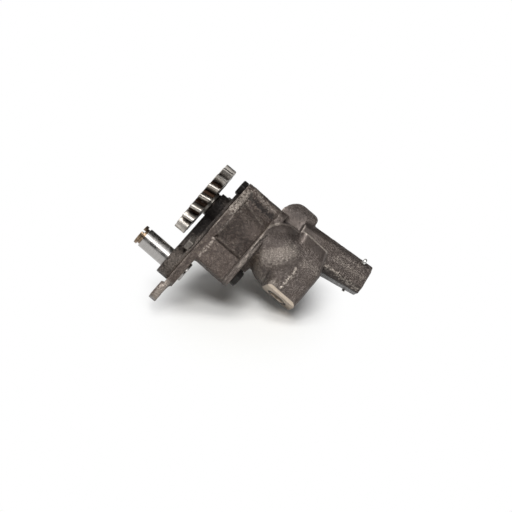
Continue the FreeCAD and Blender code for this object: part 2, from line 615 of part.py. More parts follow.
shoulder.Sections = [outline(rear_housing, "elbow_crown", "XY_Plane", "shaft_rise + neck_top", NECK_TOP)]
pad(rear_housing, "inlet_boss", "XZ_Plane", "-inlet_face", "inlet_face - inlet_start", [
    (INLET_CENTRE + " - inlet_boss_radius / 2", "shaft_rise + inlet_boss_radius / 2", "inlet_boss_radius / 2"),
    (INLET_REAR + " - inlet_boss_radius / 2", "shaft_rise + inlet_boss_radius / 2", "inlet_boss_radius / 2"),
    (INLET_REAR, "shaft_rise + inlet_rise + inlet_boss_radius - neck_corner", "neck_corner"),
    (INLET_CENTRE, "shaft_rise + inlet_rise", "inlet_boss_radius"),
])


def barrel_section(name, inward, across_flats):
    """The barrel's outline, a square with flat corners, some way in from its end."""
    half = across_flats + " / 2"
    low = "(" + half + " - barrel_facet - cast_corner * 0.414)"
    high = "(" + half + " - cast_corner)"
    corners = [(low, "-" + high), (high, "-" + low), (high, low), (low, high)]
    corners += [("-" + low, high), ("-" + high, low), ("-" + high, "-" + low), ("-" + low, "-" + high)]
    rounds = [(across, up, "cast_corner") for across, up in corners]
    along = BARREL_END + " - (" + inward + ") * cos(valve_tilt * 1 deg)"
    rise = "shaft_rise + valve_end_rise - (" + inward + ") * sin(valve_tilt * 1 deg)"
    return outline(rear_housing, name, "YZ_Plane", along, rounds, ("valve_side", rise), "-valve_tilt")


barrel = rear_housing.newObject("PartDesign::AdditiveLoft", "relief_barrel")
barrel.Profile = barrel_section("barrel_end", "0", "barrel_end_size")
barrel.Sections = [barrel_section("barrel_root", "barrel_length", "barrel_root_size")]


def in_barrel(name, inward, length, radius):
    """Cuts a round hole along the barrel, from some way in towards the open end."""
    along = BARREL_END + " - (" + inward + ") * cos(valve_tilt * 1 deg)"
    rise = "shaft_rise + valve_end_rise - (" + inward + ") * sin(valve_tilt * 1 deg)"
    hole = solid(rear_housing, "SubtractiveCylinder", name, (along, "valve_side", rise),
                 Rotation(Vector(0, 1, 0), 90 - number("valve_tilt")), Radius=radius, Height=length)
    hole.setExpression("Placement.Rotation.Angle", bound("90 - valve_tilt"))


in_barrel("valve_bore", "valve_bore_depth", "valve_bore_depth", "valve_radius")
in_barrel("valve_seat_hole", "valve_bore_depth + seat_radius * 1.4", "seat_radius * 1.4", "seat_radius")
rear_holes(rear_housing, HOUSING, "rear_flange_thick", "bolt_radius + fit_gap")
for mark, centre in (("near", REAR_NEAR), ("low", FAR_LOW), ("high", FAR_HIGH)):
    bore(rear_housing, "bolt_seat_" + mark, centre, FLANGE_BACK, "bolt_head_height * 2", "bolt_head_flats / 2 + 1.5")
solid(rear_housing, "SubtractiveSphere", "dome_hollow", (DOME_CENTRE,) + DOME, LAY_ALONG_X,
      Radius="dome_radius - cavity_wall")
bore(rear_housing, "elbow_passage", DOME, DOME_CENTRE, "dome_radius - cavity_wall / 2", "outlet_radius")
cut(rear_housing, "duct_hollow", "YZ_Plane", HOUSING + " + cavity_wall / 2", "duct_length", [
    ("-dome_side / 2", "shaft_rise + dome_rise", "duct_radius"),
    at(PORT_LOW, "port_radius"),
])
OUTLET = (NECK_START + " + neck_length / 2", "-outlet_side")
solid(rear_housing, "SubtractiveCylinder", "outlet_bore", OUTLET + ("shaft_rise - port_face_drop",), STAND,
      Radius="outlet_radius", Height="port_face_drop")
solid(rear_housing, "SubtractiveCylinder", "inlet_bore", (INLET_CENTRE, PORT_HIGH[0], "shaft_rise + inlet_rise"),
      LAY_ALONG_Y, Radius="inlet_radius", Height="inlet_face")
solid(rear_housing, "SubtractiveCylinder", "inlet_drop", (INLET_CENTRE + " - port_radius / 2",) + PORT_HIGH, STAND,
      Radius="port_radius", Height="inlet_rise - port_rise")
bore(rear_housing, "inlet_passage", PORT_HIGH, HOUSING, "inlet_along", "port_radius")
solid(rear_housing, "SubtractiveCylinder", "relief_feed",
      (BARREL_END + " - valve_bore_depth - seat_radius", "valve_side / 2", "shaft_rise + dome_rise + seat_radius"), STAND,
      Radius="seat_radius * 0.6", Height="valve_end_rise - dome_rise - 2.4 * seat_radius")

solid(rear_housing, "SubtractiveCylinder", "spill_hole",
      (BARREL_END + " - (valve_bore_depth - spill_radius - cast_corner) * cos(valve_tilt * 1 deg)", "valve_side",
       "shaft_rise + valve_end_rise - (valve_bore_depth - spill_radius - cast_corner) * sin(valve_tilt * 1 deg)"),
      LAY_ALONG_Y, Radius="spill_radius", Height="barrel_root_size")
pin_turn = Rotation(Vector(0, 1, 0), -number("valve_tilt")).multiply(Rotation(Vector(1, 0, 0), 45))
PIN_SPAN = "barrel_end_size * 1.5"
solid(rear_housing, "SubtractiveCylinder", "pin_hole", (
    BARREL_END + " - pin_inset * cos(valve_tilt * 1 deg) + " + PIN_SPAN + " * 0.3536 * sin(valve_tilt * 1 deg)",
    "valve_side + " + PIN_SPAN + " * 0.3536",
    "shaft_rise + valve_end_rise - pin_inset * sin(valve_tilt * 1 deg) - " + PIN_SPAN
    + " * 0.3536 * cos(valve_tilt * 1 deg)"), pin_turn, Radius="pin_radius + fit_gap", Height=PIN_SPAN)
SEAL_PLACE = OUTLET + ("shaft_rise - port_face_drop + seal_section * 0.7",)
solid(rear_housing, "SubtractiveTorus", "seal_groove", SEAL_PLACE, STAND,
      Radius1="seal_radius + seal_section", Radius2="seal_section + fit_gap")

# Outlet seal, a ring that lies in the groove of the outlet face
outlet_seal = new_body("outlet_seal")
solid(outlet_seal, "AdditiveTorus", "ring", SEAL_PLACE, STAND,
      Radius1="seal_radius + seal_section", Radius2="seal_section")

# Idler shaft, pressed through the cover and the plate, with a groove, a slotted collar and an oil hole
COLLAR = "-idler_reach - groove_width"
SHAFT_END = "-idler_reach - groove_width - collar_length"
idler_shaft = turned("idler_shaft", [
    ("spigot_length", "0"),
    ("spigot_length", "idler_radius - edge_chamfer"),
    ("spigot_length - edge_chamfer", "idler_radius"),
    ("0", "idler_radius"),
    ("0", "idler_radius + press_step"),
    (NOSE, "idler_radius + press_step"),
    (NOSE, "idler_radius"),
    ("-idler_reach", "idler_radius"),
    ("-idler_reach", "idler_radius - groove_depth"),
    (COLLAR, "idler_radius - groove_depth"),
    (COLLAR, "idler_radius"),
    (SHAFT_END + " + edge_chamfer", "idler_radius"),
    (SHAFT_END, "idler_radius - edge_chamfer"),
    (SHAFT_END, "0"),
])
bore(idler_shaft, "oil_hole", IDLER, SHAFT_END, "idler_reach / 2", "oil_hole_radius")
slot = solid(idler_shaft, "SubtractiveBox", "end_slot", (SHAFT_END, "0", "0"), STAND,
             Length="collar_length", Width="3 * idler_radius", Height="slot_width")
slot.Placement = Placement(Vector(), Rotation(Vector(1, 0, 0), number("slot_turn")))
slot.setExpression("Placement.Base.x", bound(SHAFT_END))
slot.setExpression("Placement.Base.y", bound(
    "-1.5 * idler_radius * cos(slot_turn * 1 deg) - (slot_rise - slot_width / 2) * sin(slot_turn * 1 deg)"))
slot.setExpression("Placement.Base.z", bound(
    "-1.5 * idler_radius * sin(slot_turn * 1 deg) + (slot_rise - slot_width / 2) * cos(slot_turn * 1 deg)"))
slot.setExpression("Placement.Rotation.Angle", bound("slot_turn"))


def plain_pin(label, centre, start, end, radius):
    """A turned pin with a chamfer at each end."""
    return turned(label, [
        (start, "0"),
        (start, radius + " - edge_chamfer"),
        (start + " + edge_chamfer", radius),
        (end + " - edge_chamfer", radius),
        (end, radius + " - edge_chamfer"),
        (end, "0"),
    ], ("0", centre[0], centre[1]))


def ring(label, centre, start, end, inside, outside):
    """A plain ring or bush."""
    return turned(label, [(start, inside), (start, outside), (end, outside), (end, inside)],
                  ("0", centre[0], centre[1]))


# Spindle, bushes and thrust washer
SPINDLE_START = JOINT + " - spindle_boss_height / 2"
HUB_BACK = NOSE + " - thrust_washer_thick - thrust_gap"
GEAR_FRONT = GEAR_BACK + " - drive_width"
driven_spindle = plain_pin("driven_spindle", DRIVEN, SPINDLE_START, "body_length", "spindle_radius")
front_bush = ring("front_shaft_bush", DRIVE, NOSE, JOINT, "shaft_radius + running_gap", "shaft_radius + bush_wall")
rear_bush = ring("rear_shaft_bush", DRIVE, CHAMBER_END, "body_length", "shaft_radius + running_gap",
                 "shaft_radius + bush_wall")
thrust_washer = ring("thrust_washer", DRIVE, NOSE + " - thrust_washer_thick", NOSE, "shaft_radius + tip_gap",
                     "drive_hub_radius")
driven_bush = ring("driven_gear_bush", DRIVEN, JOINT + " + side_gap", JOINT + " + side_gap + pump_width",
                   "spindle_radius + running_gap", "spindle_radius + spindle_bush_wall")

# Drive shaft with its two keyways
drive_shaft = plain_pin("drive_shaft", DRIVE, GEAR_FRONT, "body_length - edge_chamfer * 2", "shaft_radius")
DRIVE_KEY_START = GEAR_FRONT + " + key_inset"
PUMP_KEY_START = JOINT + " + side_gap + pump_width / 2 - pump_key_length / 2"
for mark, start, length in (("drive", DRIVE_KEY_START, "key_length"), ("pump", PUMP_KEY_START, "pump_key_length")):
    solid(drive_shaft, "SubtractiveBox", mark + "_keyway", (
        start + " - fit_gap", "-key_width / 2 - fit_gap", "shaft_radius - key_width / 2 - fit_gap"), STAND,
        Length=length + " + 2 * fit_gap", Width="key_width + 2 * fit_gap", Height="key_width")


def key(label, start, length):
    """A parallel key, half in the shaft and half in its gear."""
    block = doc.addObject("Part::Box", label)
    block.Label = label
    block.setExpression("Length", bound(length))
    block.setExpression("Width", bound("key_width"))
    block.setExpression("Height", bound("key_width"))
    block.setExpression("Placement.Base.x", bound(start))
    block.setExpression("Placement.Base.y", bound("-key_width / 2"))
    block.setExpression("Placement.Base.z", bound("shaft_rise + shaft_radius - key_width / 2"))
    return block


drive_key = key("drive_gear_key", DRIVE_KEY_START, "key_length")
pump_key = key("pump_gear_key", PUMP_KEY_START, "pump_key_length")


def keyed_bore(start, length, key_start, key_long):
    """The tool that cuts a gear's bore and its keyway, which runs through the gear."""
    radius = number("shaft_radius + fit_gap")
    wide = number("key_width + 2 * fit_gap")
    hole = Part.makeCylinder(radius, length, Vector(start, 0, 0), Vector(1, 0, 0))
    top = number("shaft_radius + key_width / 2 + fit_gap")
    return hole.fuse(Part.makeBox(key_long, wide, top, Vector(key_start, -wide / 2, 0)))


# Pumping gears, one on the drive shaft and one on the spindle's bush
PUMP_SIZES = {
    "teeth": number("pump_teeth"),
    "module": number("pump_module"),
    "pressure": math.radians(number("pump_pressure")),
    "addendum": number("pump_module"),
    "dedendum": number("pump_module * 1.25"),
    "thinning": number("pump_backlash"),
}
pump_start = number(JOINT + " + side_gap")
pump_width = number("pump_width")
pump_blank = Part.Face(gear_wire(pump_start, 0, **PUMP_SIZES)).extrude(Vector(pump_width, 0, 0))
pump_drive_gear = feature(
    "pump_drive_gear",
    pump_blank.cut(keyed_bore(pump_start, pump_width, pump_start, pump_width)),
    (0, 0, number("shaft_rise")),
)
half_tooth = math.pi / number("pump_teeth")
driven_blank = Part.Face(gear_wire(pump_start, half_tooth, **PUMP_SIZES)).extrude(Vector(pump_width, 0, 0))
pump_driven_gear = feature(
    "pump_driven_gear",
    driven_blank.cut(bar(pump_start, pump_width, number("spindle_radius + spindle_bush_wall + fit_gap"))),
    (0, number(GEAR_CENTRES), number("shaft_rise")),
)

# Drive gear: helical teeth, a web with a recess on each side, and a keyed hub
gear_front = number(GEAR_FRONT)
gear_width = number("drive_width")
helix = math.radians(number("drive_helix"))
DRIVE_SIZES = {
    "teeth": number("drive_teeth"),
    "module": number("drive_module") / math.cos(helix),
    "pressure": math.atan(math.tan(math.radians(20)) / math.cos(helix)),
    "addendum": number("drive_module"),
    "dedendum": number("drive_module * 1.25"),
    "thinning": number("pump_backlash"),
}
pitch_radius = DRIVE_SIZES["teeth"] * DRIVE_SIZES["module"] / 2
twist = -math.tan(helix) * gear_width / pitch_radius
drive_turn = -math.radians(number("drive_turn"))
front_wire = gear_wire(gear_front, drive_turn, **DRIVE_SIZES)
back_wire = gear_wire(gear_front + gear_width, drive_turn + twist, **DRIVE_SIZES)
gear_blank = Part.makeLoft([front_wire, back_wire], True, True)
recess = number("drive_web_recess")
for start in (gear_front, gear_front + gear_width - recess):
    hollow = bar(start, recess, number("drive_rim_radius")).cut(bar(start, recess, number("drive_hub_radius")))
    gear_blank = gear_blank.cut(hollow)
hub_end = number(HUB_BACK)
hub = bar(gear_front + gear_width, hub_end - gear_front - gear_width, number("drive_hub_radius"))
hub_length = hub_end - gear_front
drive_gear = feature(
    "drive_gear",
    gear_blank.fuse(hub).cut(keyed_bore(gear_front, hub_length, gear_front, hub_length)).removeSplitter(),
    (0, 0, number("shaft_rise")),
)


def in_valve(body):
    """Lays a piece that is drawn along X on the barrel's axis, with its origin at the barrel's end."""
    body.Placement = Placement(Vector(), Rotation(Vector(0, 1, 0), -number("valve_tilt")))
    body.setExpression("Placement.Base.x", bound(BARREL_END))
    body.setExpression("Placement.Base.y", bound("valve_side"))
    body.setExpression("Placement.Base.z", bound("shaft_rise + valve_end_rise"))
    body.setExpression("Placement.Rotation.Angle", bound("-valve_tilt"))
    return body


# Relief valve: plunger, spring, spring seat and cotter pin
PLUNGER_START = "-valve_bore_depth + side_gap"
PLUNGER_END = "-valve_bore_depth + side_gap + plunger_length"
CUP_FLOOR = "-valve_bore_depth + side_gap + 2 * plunger_wall"
PLUNGER_RADIUS = "valve_radius - running_gap"
CAP_BACK = "-pin_inset - pin_radius"
CAP_FRONT = "-pin_inset - pin_radius - cap_thick"
relief_plunger = in_valve(turned("relief_plunger", [
    (PLUNGER_START, "0"),
    (PLUNGER_START, PLUNGER_RADIUS + " - edge_chamfer"),
    (PLUNGER_START + " + edge_chamfer", PLUNGER_RADIUS),
    (PLUNGER_END, PLUNGER_RADIUS),
    (PLUNGER_END, PLUNGER_RADIUS + " - plunger_wall"),
    (CUP_FLOOR, PLUNGER_RADIUS + " - plunger_wall"),
    (CUP_FLOOR, "0"),
]))
spring_seat = in_valve(turned("relief_spring_seat", [
    (CAP_FRONT + " - cap_thick / 2", "0"),
    (CAP_FRONT + " - cap_thick / 2", "spring_radius - spring_wire - side_gap"),
    (CAP_FRONT, "spring_radius - spring_wire - side_gap"),
    (CAP_FRONT, "valve_radius - side_gap"),
    (CAP_BACK, "valve_radius - side_gap"),
    (CAP_BACK, "0"),
]))
wire = number("spring_wire")
spring_start = number(CUP_FLOOR + " + side_gap") + wire
spring_length = number(CAP_FRONT) - wire - spring_start
coil = Part.makeHelix(spring_length / number("spring_turns"), spring_length, number("spring_radius"))
coil_corners = [
    Vector(number("spring_radius") + wire * math.cos(corner * math.pi / 4), 0, wire * math.sin(corner * math.pi / 4))
    for corner in range(9)
]
coil_end = Part.makePolygon(coil_corners)
spring_solid = Part.Wire(coil).makePipeShell([coil_end], True, True)
spring_solid.Placement = Placement(Vector(spring_start, 0, 0), LAY_ALONG_X)
relief_spring = in_valve(feature("relief_spring", Part.Compound([spring_solid])))
pin = number("pin_radius")
shank_half = number("barrel_end_size") * 0.63
eye = 1.6 * pin
shank = Part.makeCylinder(pin, 2 * shank_half, Vector(0, 0, -shank_half))
eye_ring = Part.makeTorus(eye, pin * 0.55, Vector(0, 0, -shank_half - eye), Vector(1, 0, 0))
prong_length = 2.4 * pin
prongs = []
for side in (-1, 1):
    lean = Vector(0, side * 0.85, 0.53)
    foot = Vector(0, side * pin * 0.45, shank_half - pin * 0.6)
    prongs.append(Part.makeCylinder(pin * 0.5, prong_length, foot, lean))
pin_shape = shank.fuse([eye_ring] + prongs)
pin_shape.rotate(Vector(), Vector(1, 0, 0), 45)
pin_shape.translate(Vector(-number("pin_inset"), 0, 0))
cotter_pin = in_valve(feature("relief_cotter_pin", Part.Compound([pin_shape])))

# Fasteners
HEAD_FRONT = Rotation(Vector(0, 1, 0), -90)


def hex_bolt(name, centre, seat, head_turn, shank_turn, length):
    """A hexagon head bolt: the head lies one way from its seat and the shank the other."""
    prism = doc.addObject("Part::Prism", name + "_hexagon")
    prism.Polygon = 6
    prism.setExpression("Circumradius", bound("bolt_head_flats / sqrt(3)"))
    prism.setExpression("Height", bound("bolt_head_height"))
    cone = doc.addObject("Part::Cone", name + "_chamfer")
    cone.setExpression("Radius1", bound("bolt_head_flats * 0.48 + bolt_head_height * 1.73"))
    cone.setExpression("Radius2", bound("bolt_head_flats * 0.48"))
    cone.setExpression("Height", bound("bolt_head_height"))
    stem = doc.addObject("Part::Cylinder", name + "_shank")
    stem.setExpression("Radius", bound("bolt_radius"))
    stem.setExpression("Height", bound(length))
    for item, turn in ((prism, head_turn), (cone, head_turn), (stem, shank_turn)):
        item.Placement = Placement(Vector(), turn)
        for axis, text in zip("xyz", (seat, centre[0], centre[1])):
            item.setExpression("Placement.Base." + axis, bound(text))
    head = doc.addObject("Part::Common", name + "_head")
    head.Base = prism
    head.Tool = cone
    bolt = doc.addObject("Part::Fuse", name)
    bolt.Base = head
    bolt.Tool = stem
    return bolt


def group(label, items):
    """Like pieces that share one name, each its own solid."""
    together = doc.addObject("Part::Compound", label)
    together.Label = label
    together.Links = items
    return together


COVER_SEAT = SEAT + " + spotface_depth"
cover_bolts = group("cover_bolts", [
    hex_bolt("cover_bolt_" + mark, centre, COVER_SEAT, HEAD_FRONT, LAY_ALONG_X,
             "cover_thick - spotface_depth + thread_reach - 1")
    for mark, centre in (("near", COVER_NEAR), ("far", COVER_FAR), ("low", FAR_LOW), ("high", FAR_HIGH))
])
through_bolt = hex_bolt("through_bolt", THROUGH, JOINT, HEAD_FRONT, LAY_ALONG_X,
                        "plate_thick + " + HOUSING + " + lobe_thick")
rear_bolts = group("rear_bolts", [
    hex_bolt("rear_bolt_" + mark, centre, FLANGE_BACK, LAY_ALONG_X, HEAD_FRONT,
             "rear_flange_thick + gasket_thick + thread_reach - 1")
    for mark, centre in (("near", REAR_NEAR), ("low", FAR_LOW), ("high", FAR_HIGH))
])


def dowel(name, centre, start):
    """A straight dowel pin along X."""
    pin_bar = doc.addObject("Part::Cylinder", name)
    pin_bar.Placement = Placement(Vector(), LAY_ALONG_X)
    pin_bar.setExpression("Radius", bound("dowel_radius"))
    pin_bar.setExpression("Height", bound("dowel_length - side_gap"))
    for axis, text in zip("xyz", (start, centre[0], centre[1])):
        pin_bar.setExpression("Placement.Base." + axis, bound(text))
    return pin_bar


cover_dowels = group("cover_dowels", [
    dowel("cover_dowel_low", COVER_DOWEL_LOW, SEAT),
    dowel("cover_dowel_high", COVER_DOWEL_HIGH, SEAT),
])
housing_dowels = group("housing_dowels", [
    dowel("housing_dowel_column", HOUSING_DOWEL_COLUMN, "body_length - dowel_length / 2"),
    dowel("housing_dowel_web", HOUSING_DOWEL_WEB, "body_length - dowel_length / 2"),
])

# Every piece, each written to a file of its own name
PIECES = [
    pump_body, front_cover, rear_housing, rear_gasket, outlet_seal, idler_shaft, driven_spindle, front_bush,
    rear_bush, thrust_washer, cover_dowels, housing_dowels, cover_bolts, through_bolt, rear_bolts, spring_seat,
    cotter_pin, drive_gear, drive_shaft, drive_key, pump_drive_gear, pump_key, pump_driven_gear, driven_bush,
    relief_plunger, relief_spring,
]
doc.recompute()
for item in doc.Objects:
    if "Invalid" in item.State or "Error" in item.State:
        raise RuntimeError("%s did not build" % item.Name)
for piece in PIECES:
    if piece.Shape.isNull() or not piece.Shape.isValid() or not piece.Shape.Solids:
        raise RuntimeError("%s has no sound solid" % piece.Label)
os.makedirs("parts", exist_ok=True)
for piece in PIECES:
    piece.Shape.exportStep("parts/%s.step" % piece.Label)
    print(piece.Label, len(piece.Shape.Solids), round(piece.Shape.Volume, 1))
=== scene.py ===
"""Looks of an engine oil pump: castings, drive gear, idler shaft, bolts and relief valve."""
import logging
import math
from dataclasses import dataclass
from enum import Enum

import bmesh
import bpy
import numpy as np
from mathutils import Matrix, Vector, noise


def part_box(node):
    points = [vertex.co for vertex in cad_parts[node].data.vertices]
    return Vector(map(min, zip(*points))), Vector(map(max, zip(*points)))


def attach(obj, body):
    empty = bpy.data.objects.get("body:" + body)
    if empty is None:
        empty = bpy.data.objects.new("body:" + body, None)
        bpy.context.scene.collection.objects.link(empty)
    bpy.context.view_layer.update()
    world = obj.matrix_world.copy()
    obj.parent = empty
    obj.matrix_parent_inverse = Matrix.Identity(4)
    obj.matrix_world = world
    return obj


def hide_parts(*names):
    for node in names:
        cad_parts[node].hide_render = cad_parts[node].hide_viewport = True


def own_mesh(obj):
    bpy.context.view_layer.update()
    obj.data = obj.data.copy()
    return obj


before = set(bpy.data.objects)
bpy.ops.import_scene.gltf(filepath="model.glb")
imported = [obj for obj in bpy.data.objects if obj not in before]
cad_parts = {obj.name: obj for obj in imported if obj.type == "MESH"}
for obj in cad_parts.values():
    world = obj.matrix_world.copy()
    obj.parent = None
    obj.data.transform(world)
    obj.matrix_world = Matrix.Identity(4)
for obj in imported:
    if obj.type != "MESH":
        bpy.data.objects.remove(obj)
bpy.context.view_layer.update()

Piece = bpy.types.Object
Mesh = bpy.types.Mesh
Material = bpy.types.Material
Tree = bpy.types.NodeTree
Socket = bpy.types.NodeSocket
Point = tuple[float, float, float]

LOG = logging.getLogger("oil_pump")
MM = 0.001
SHAFT_RISE = 72.7
REAR_JOINT = 35.0
VALVE_TILT = math.radians(8.8)
BARREL_END = Vector((152.8, 20.0, 122.3))


class Body(Enum):
    """The bodies that a new piece rides on."""

    HOUSING = "housing"
    DRIVE_ROTOR = "drive_rotor"


class Axis(Enum):
    """The direction that a bore runs in."""

    SHAFT = Vector((1, 0, 0))
    ACROSS = Vector((0, 1, 0))
    UPRIGHT = Vector((0, 0, 1))
    VALVE = Vector((math.cos(VALVE_TILT), 0, math.sin(VALVE_TILT)))


class Look(Enum):
    """What a mark does to the skin of a casting."""

    # PALE marks worn edges and also painted highlights; DARK mostly marks painted shade in corners, creases and under
    # the barrel
    PALE = "rub"
    DARK = "valley"
    CALM = "calm"


# Finishes


def linear(code: str) -> tuple[float, float, float, float]:
    """Turns an sRGB hex colour into linear light.

    Args:
        code: six hex digits.

    Returns:
        Red, green, blue and an alpha of 1.
    """
    channels = [int(code[start:start + 2], 16) / 255 for start in (0, 2, 4)]
    light = [value / 12.92 if value <= 0.04045 else ((value + 0.055) / 1.055) ** 2.4 for value in channels]
    return (light[0], light[1], light[2], 1.0)


def add_node(tree: Tree, kind: str, links: dict | None = None, **settings: object) -> bpy.types.Node:
    """Adds a shader node with its settings and its inputs.

    Args:
        tree: the material's node tree.
        kind: the node's type without the leading "ShaderNode".
        links: input name or number to a value, or to an output socket that feeds it.
        settings: the node's own properties.

    Returns:
        The new node.
    """
    node = tree.nodes.new("ShaderNode" + kind)
    for name, value in settings.items():
        setattr(node, name, value)
    for name, value in (links or {}).items():
        socket = node.inputs[name]
        if isinstance(value, Socket):
            tree.links.new(value, socket)
        else:
            socket.default_value = value
    return node


def per_metre(size_mm: float) -> float:
    """The noise scale whose cells are about this many millimetres wide."""
    return 1 / (size_mm * MM)


def new_material(name: str) -> tuple[Material, Tree]:
    """Starts an empty node material.

    Args:
        name: the material's name.

    Returns:
        The material and its node tree.
    """
    material = bpy.data.materials.new(name)
    material.use_nodes = True
    material.node_tree.nodes.clear()
    return material, material.node_tree


def speckle(tree: Tree, size_mm: float, low: float, high: float, detail: float = 2.0,
            stretch: Point = (1, 1, 1)) -> Socket:
    """Adds a noise pattern in object space with its contrast set.

    Args:
        tree: the material's node tree.
        size_mm: width of a patch.
        low: noise value that becomes 0.
        high: noise value that becomes 1.
        detail: octaves of finer noise.
        stretch: scale along each axis, for streaks.

    Returns:
        A socket from 0 to 1.
    """
    place = add_node(tree, "TexCoord").outputs["Object"]
    spread = add_node(tree, "Mapping", {"Vector": place, "Scale": stretch})
    pattern = add_node(tree, "TexNoise", {
        "Vector": spread.outputs[0], "Scale": per_metre(size_mm), "Detail": detail, "Roughness": 0.6})
    levels = add_node(tree, "MapRange", {"Value": pattern.outputs[0], "From Min": low, "From Max": high})
    return levels.outputs[0]


def layered(tree: Tree, base: str, *coats: tuple[object, str]) -> Socket:
    """Lays coats of colour over a base, one after another.

    Args:
        tree: the material's node tree.
        base: the base's hex colour.
        coats: for each coat, how much of it shows, from 0 to 1, and its hex colour.

    Returns:
        The colour that shows.
    """
    colour = linear(base)
    for cover, code in coats:
        colour = add_node(tree, "Mix", {0: cover, 6: colour, 7: linear(code)}, data_type="RGBA").outputs[2]
    return colour


def chained(tree: Tree, kind: str, value: object, *steps: tuple) -> Socket:
    """Takes a value through a row of nodes that reckon with it.

    Args:
        tree: the material's node tree.
        kind: the nodes' type, as for add_node.
        value: the number or place that the first node takes.
        steps: for each node, its operation and the other values that it takes.

    Returns:
        What the last node gives.
    """
    for operation, *others in steps:
        value = add_node(tree, kind, dict(enumerate((value, *others))), operation=operation).outputs[0]
    return value


@dataclass(frozen=True)
class Finish:
    """A plain metal finish with two tones, for parts seen little."""

    name: str
    tone: str
    other_tone: str
    roughness: float
    metallic: float = 1.0
    patch_mm: float = 3.0
    bump_mm: float = 0.02

    def material(self) -> Material:
        """Builds the material.

        Returns:
            The finished material.
        """
        material, tree = new_material(self.name)
        patches = speckle(tree, self.patch_mm, 0.35, 0.65)
        rough = add_node(tree, "MapRange", {
            "Value": patches, "To Min": self.roughness * 0.85, "To Max": min(1.0, self.roughness * 1.2)})
        bump = add_node(tree, "Bump", {"Strength": 0.6, "Distance": self.bump_mm * MM, "Height": patches})
        shader = add_node(tree, "BsdfPrincipled", {
            "Base Color": layered(tree, self.tone, (patches, self.other_tone)), "Metallic": self.metallic,
            "Roughness": rough.outputs[0], "Normal": bump.outputs[0]})
        add_node(tree, "OutputMaterial", {"Surface": shader.outputs[0]})
        return material


@dataclass(frozen=True)
class SandCastIron:
    """Grey cast iron straight from a sand mould, lightly oiled.

    The skin is dark and warm with a grain of sand marks, paler where edges are worn and where highlights are painted,
    and darker where shade is painted in corners and creases.
    """

    name: str
    skin: str
    grain: str
    stain: str
    worn_and_highlight_tone: str
    hollow_shade_tone: str
    roughness: float
    grit_mm: float = 1.3
    metallic: float = 0.6

    def material(self) -> Material:
        """Builds the material.

        Returns:
            The finished material.
        """
        material, tree = new_material(self.name)
        rub, valley, calm = (
            add_node(tree, "Attribute", attribute_name=look.value).outputs["Fac"] for look in Look)
        # Sand grains are about 0.3 mm; they are drawn four times coarser, so that they show at this size
        grains = speckle(tree, self.grit_mm, 0.4, 0.62, 3.0)
        clumps = speckle(tree, self.grit_mm * 2.6, 0.38, 0.62)
        patches = speckle(tree, 11.0, 0.35, 0.65)
        rest = chained(tree, "Math", calm, ("MULTIPLY_ADD", -0.8, 1.0))
        even = chained(tree, "Math", calm, ("MULTIPLY_ADD", 0.22, 0.05))
        mottle = chained(tree, "Math", grains, ("MULTIPLY", clumps), ("MULTIPLY", rest), ("ADD", even))
        specks = add_node(tree, "MapRange", {"Value": grains, "To Min": 0.3, "To Max": 1.0}).outputs[0]
        colour = layered(
            tree, self.skin,
            (mottle, self.grain),
            (chained(tree, "Math", patches, ("MULTIPLY", 0.4)), self.stain),
            # The pale coat is worn edges with painted highlights; the dark coat after it is painted shade
            (chained(tree, "Math", specks, ("MAXIMUM", calm), ("MULTIPLY", rub)), self.worn_and_highlight_tone),
            (chained(tree, "Math", valley, ("MULTIPLY", 0.85)), self.hollow_shade_tone))
        rough = add_node(tree, "MapRange", {
            "Value": grains, "To Min": self.roughness * 1.15, "To Max": self.roughness * 0.8})
        height = chained(tree, "Math", clumps, ("MULTIPLY", 0.6), ("ADD", grains))
        bump = add_node(tree, "Bump", {"Strength": rest, "Distance": 0.3 * MM, "Height": height})
        shader = add_node(tree, "BsdfPrincipled", {
            "Base Color": colour, "Metallic": self.metallic, "Roughness": rough.outputs[0],
            "Normal": bump.outputs[0]})
        add_node(tree, "OutputMaterial", {"Surface": shader.outputs[0]})
        return material


@dataclass(frozen=True)
class MilledIron:
    """Iron or steel cut by a face mill or on a lathe: pale, with fine arcs or rings of tool marks."""

    name: str
    tone: str
    mark: str
    roughness: float
    ring_centre: float = 0.0
    wander: float = 3.0
    feed_mm: float = 1.2

    def material(self) -> Material:
        """Builds the material.

        Returns:
            The finished material.
        """
        material, tree = new_material(self.name)
        place = chained(tree, "VectorMath", add_node(tree, "TexCoord").outputs["Object"],
                        ("SUBTRACT", (0, 0, self.ring_centre * MM)))
        # Feed marks are about 0.4 mm apart; they are drawn far coarser, at 2 pi times feed_mm, so that they show.
        # The wave texture multiplies its scale by 20
        marks = add_node(tree, "TexWave", {
            "Vector": place, "Scale": per_metre(self.feed_mm) / 20, "Distortion": self.wander, "Detail": 2.0,
            "Detail Scale": 1.5}, wave_type="RINGS", rings_direction="X")
        pores = speckle(tree, 1.3, 0.42, 0.6)
        levels = add_node(tree, "MapRange", {"Value": marks.outputs["Fac"], "To Min": 0.0, "To Max": 0.5})
        colour = layered(tree, self.tone, (levels.outputs[0], self.mark),
                         (chained(tree, "Math", pores, ("MULTIPLY", 0.35)), self.mark))
        bump = add_node(tree, "Bump", {"Strength": 0.4, "Distance": 0.03 * MM, "Height": marks.outputs["Fac"]})
        shader = add_node(tree, "BsdfPrincipled", {
            "Base Color": colour, "Metallic": 0.85, "Roughness": self.roughness, "Normal": bump.outputs[0]})
        add_node(tree, "OutputMaterial", {"Surface": shader.outputs[0]})
        return material


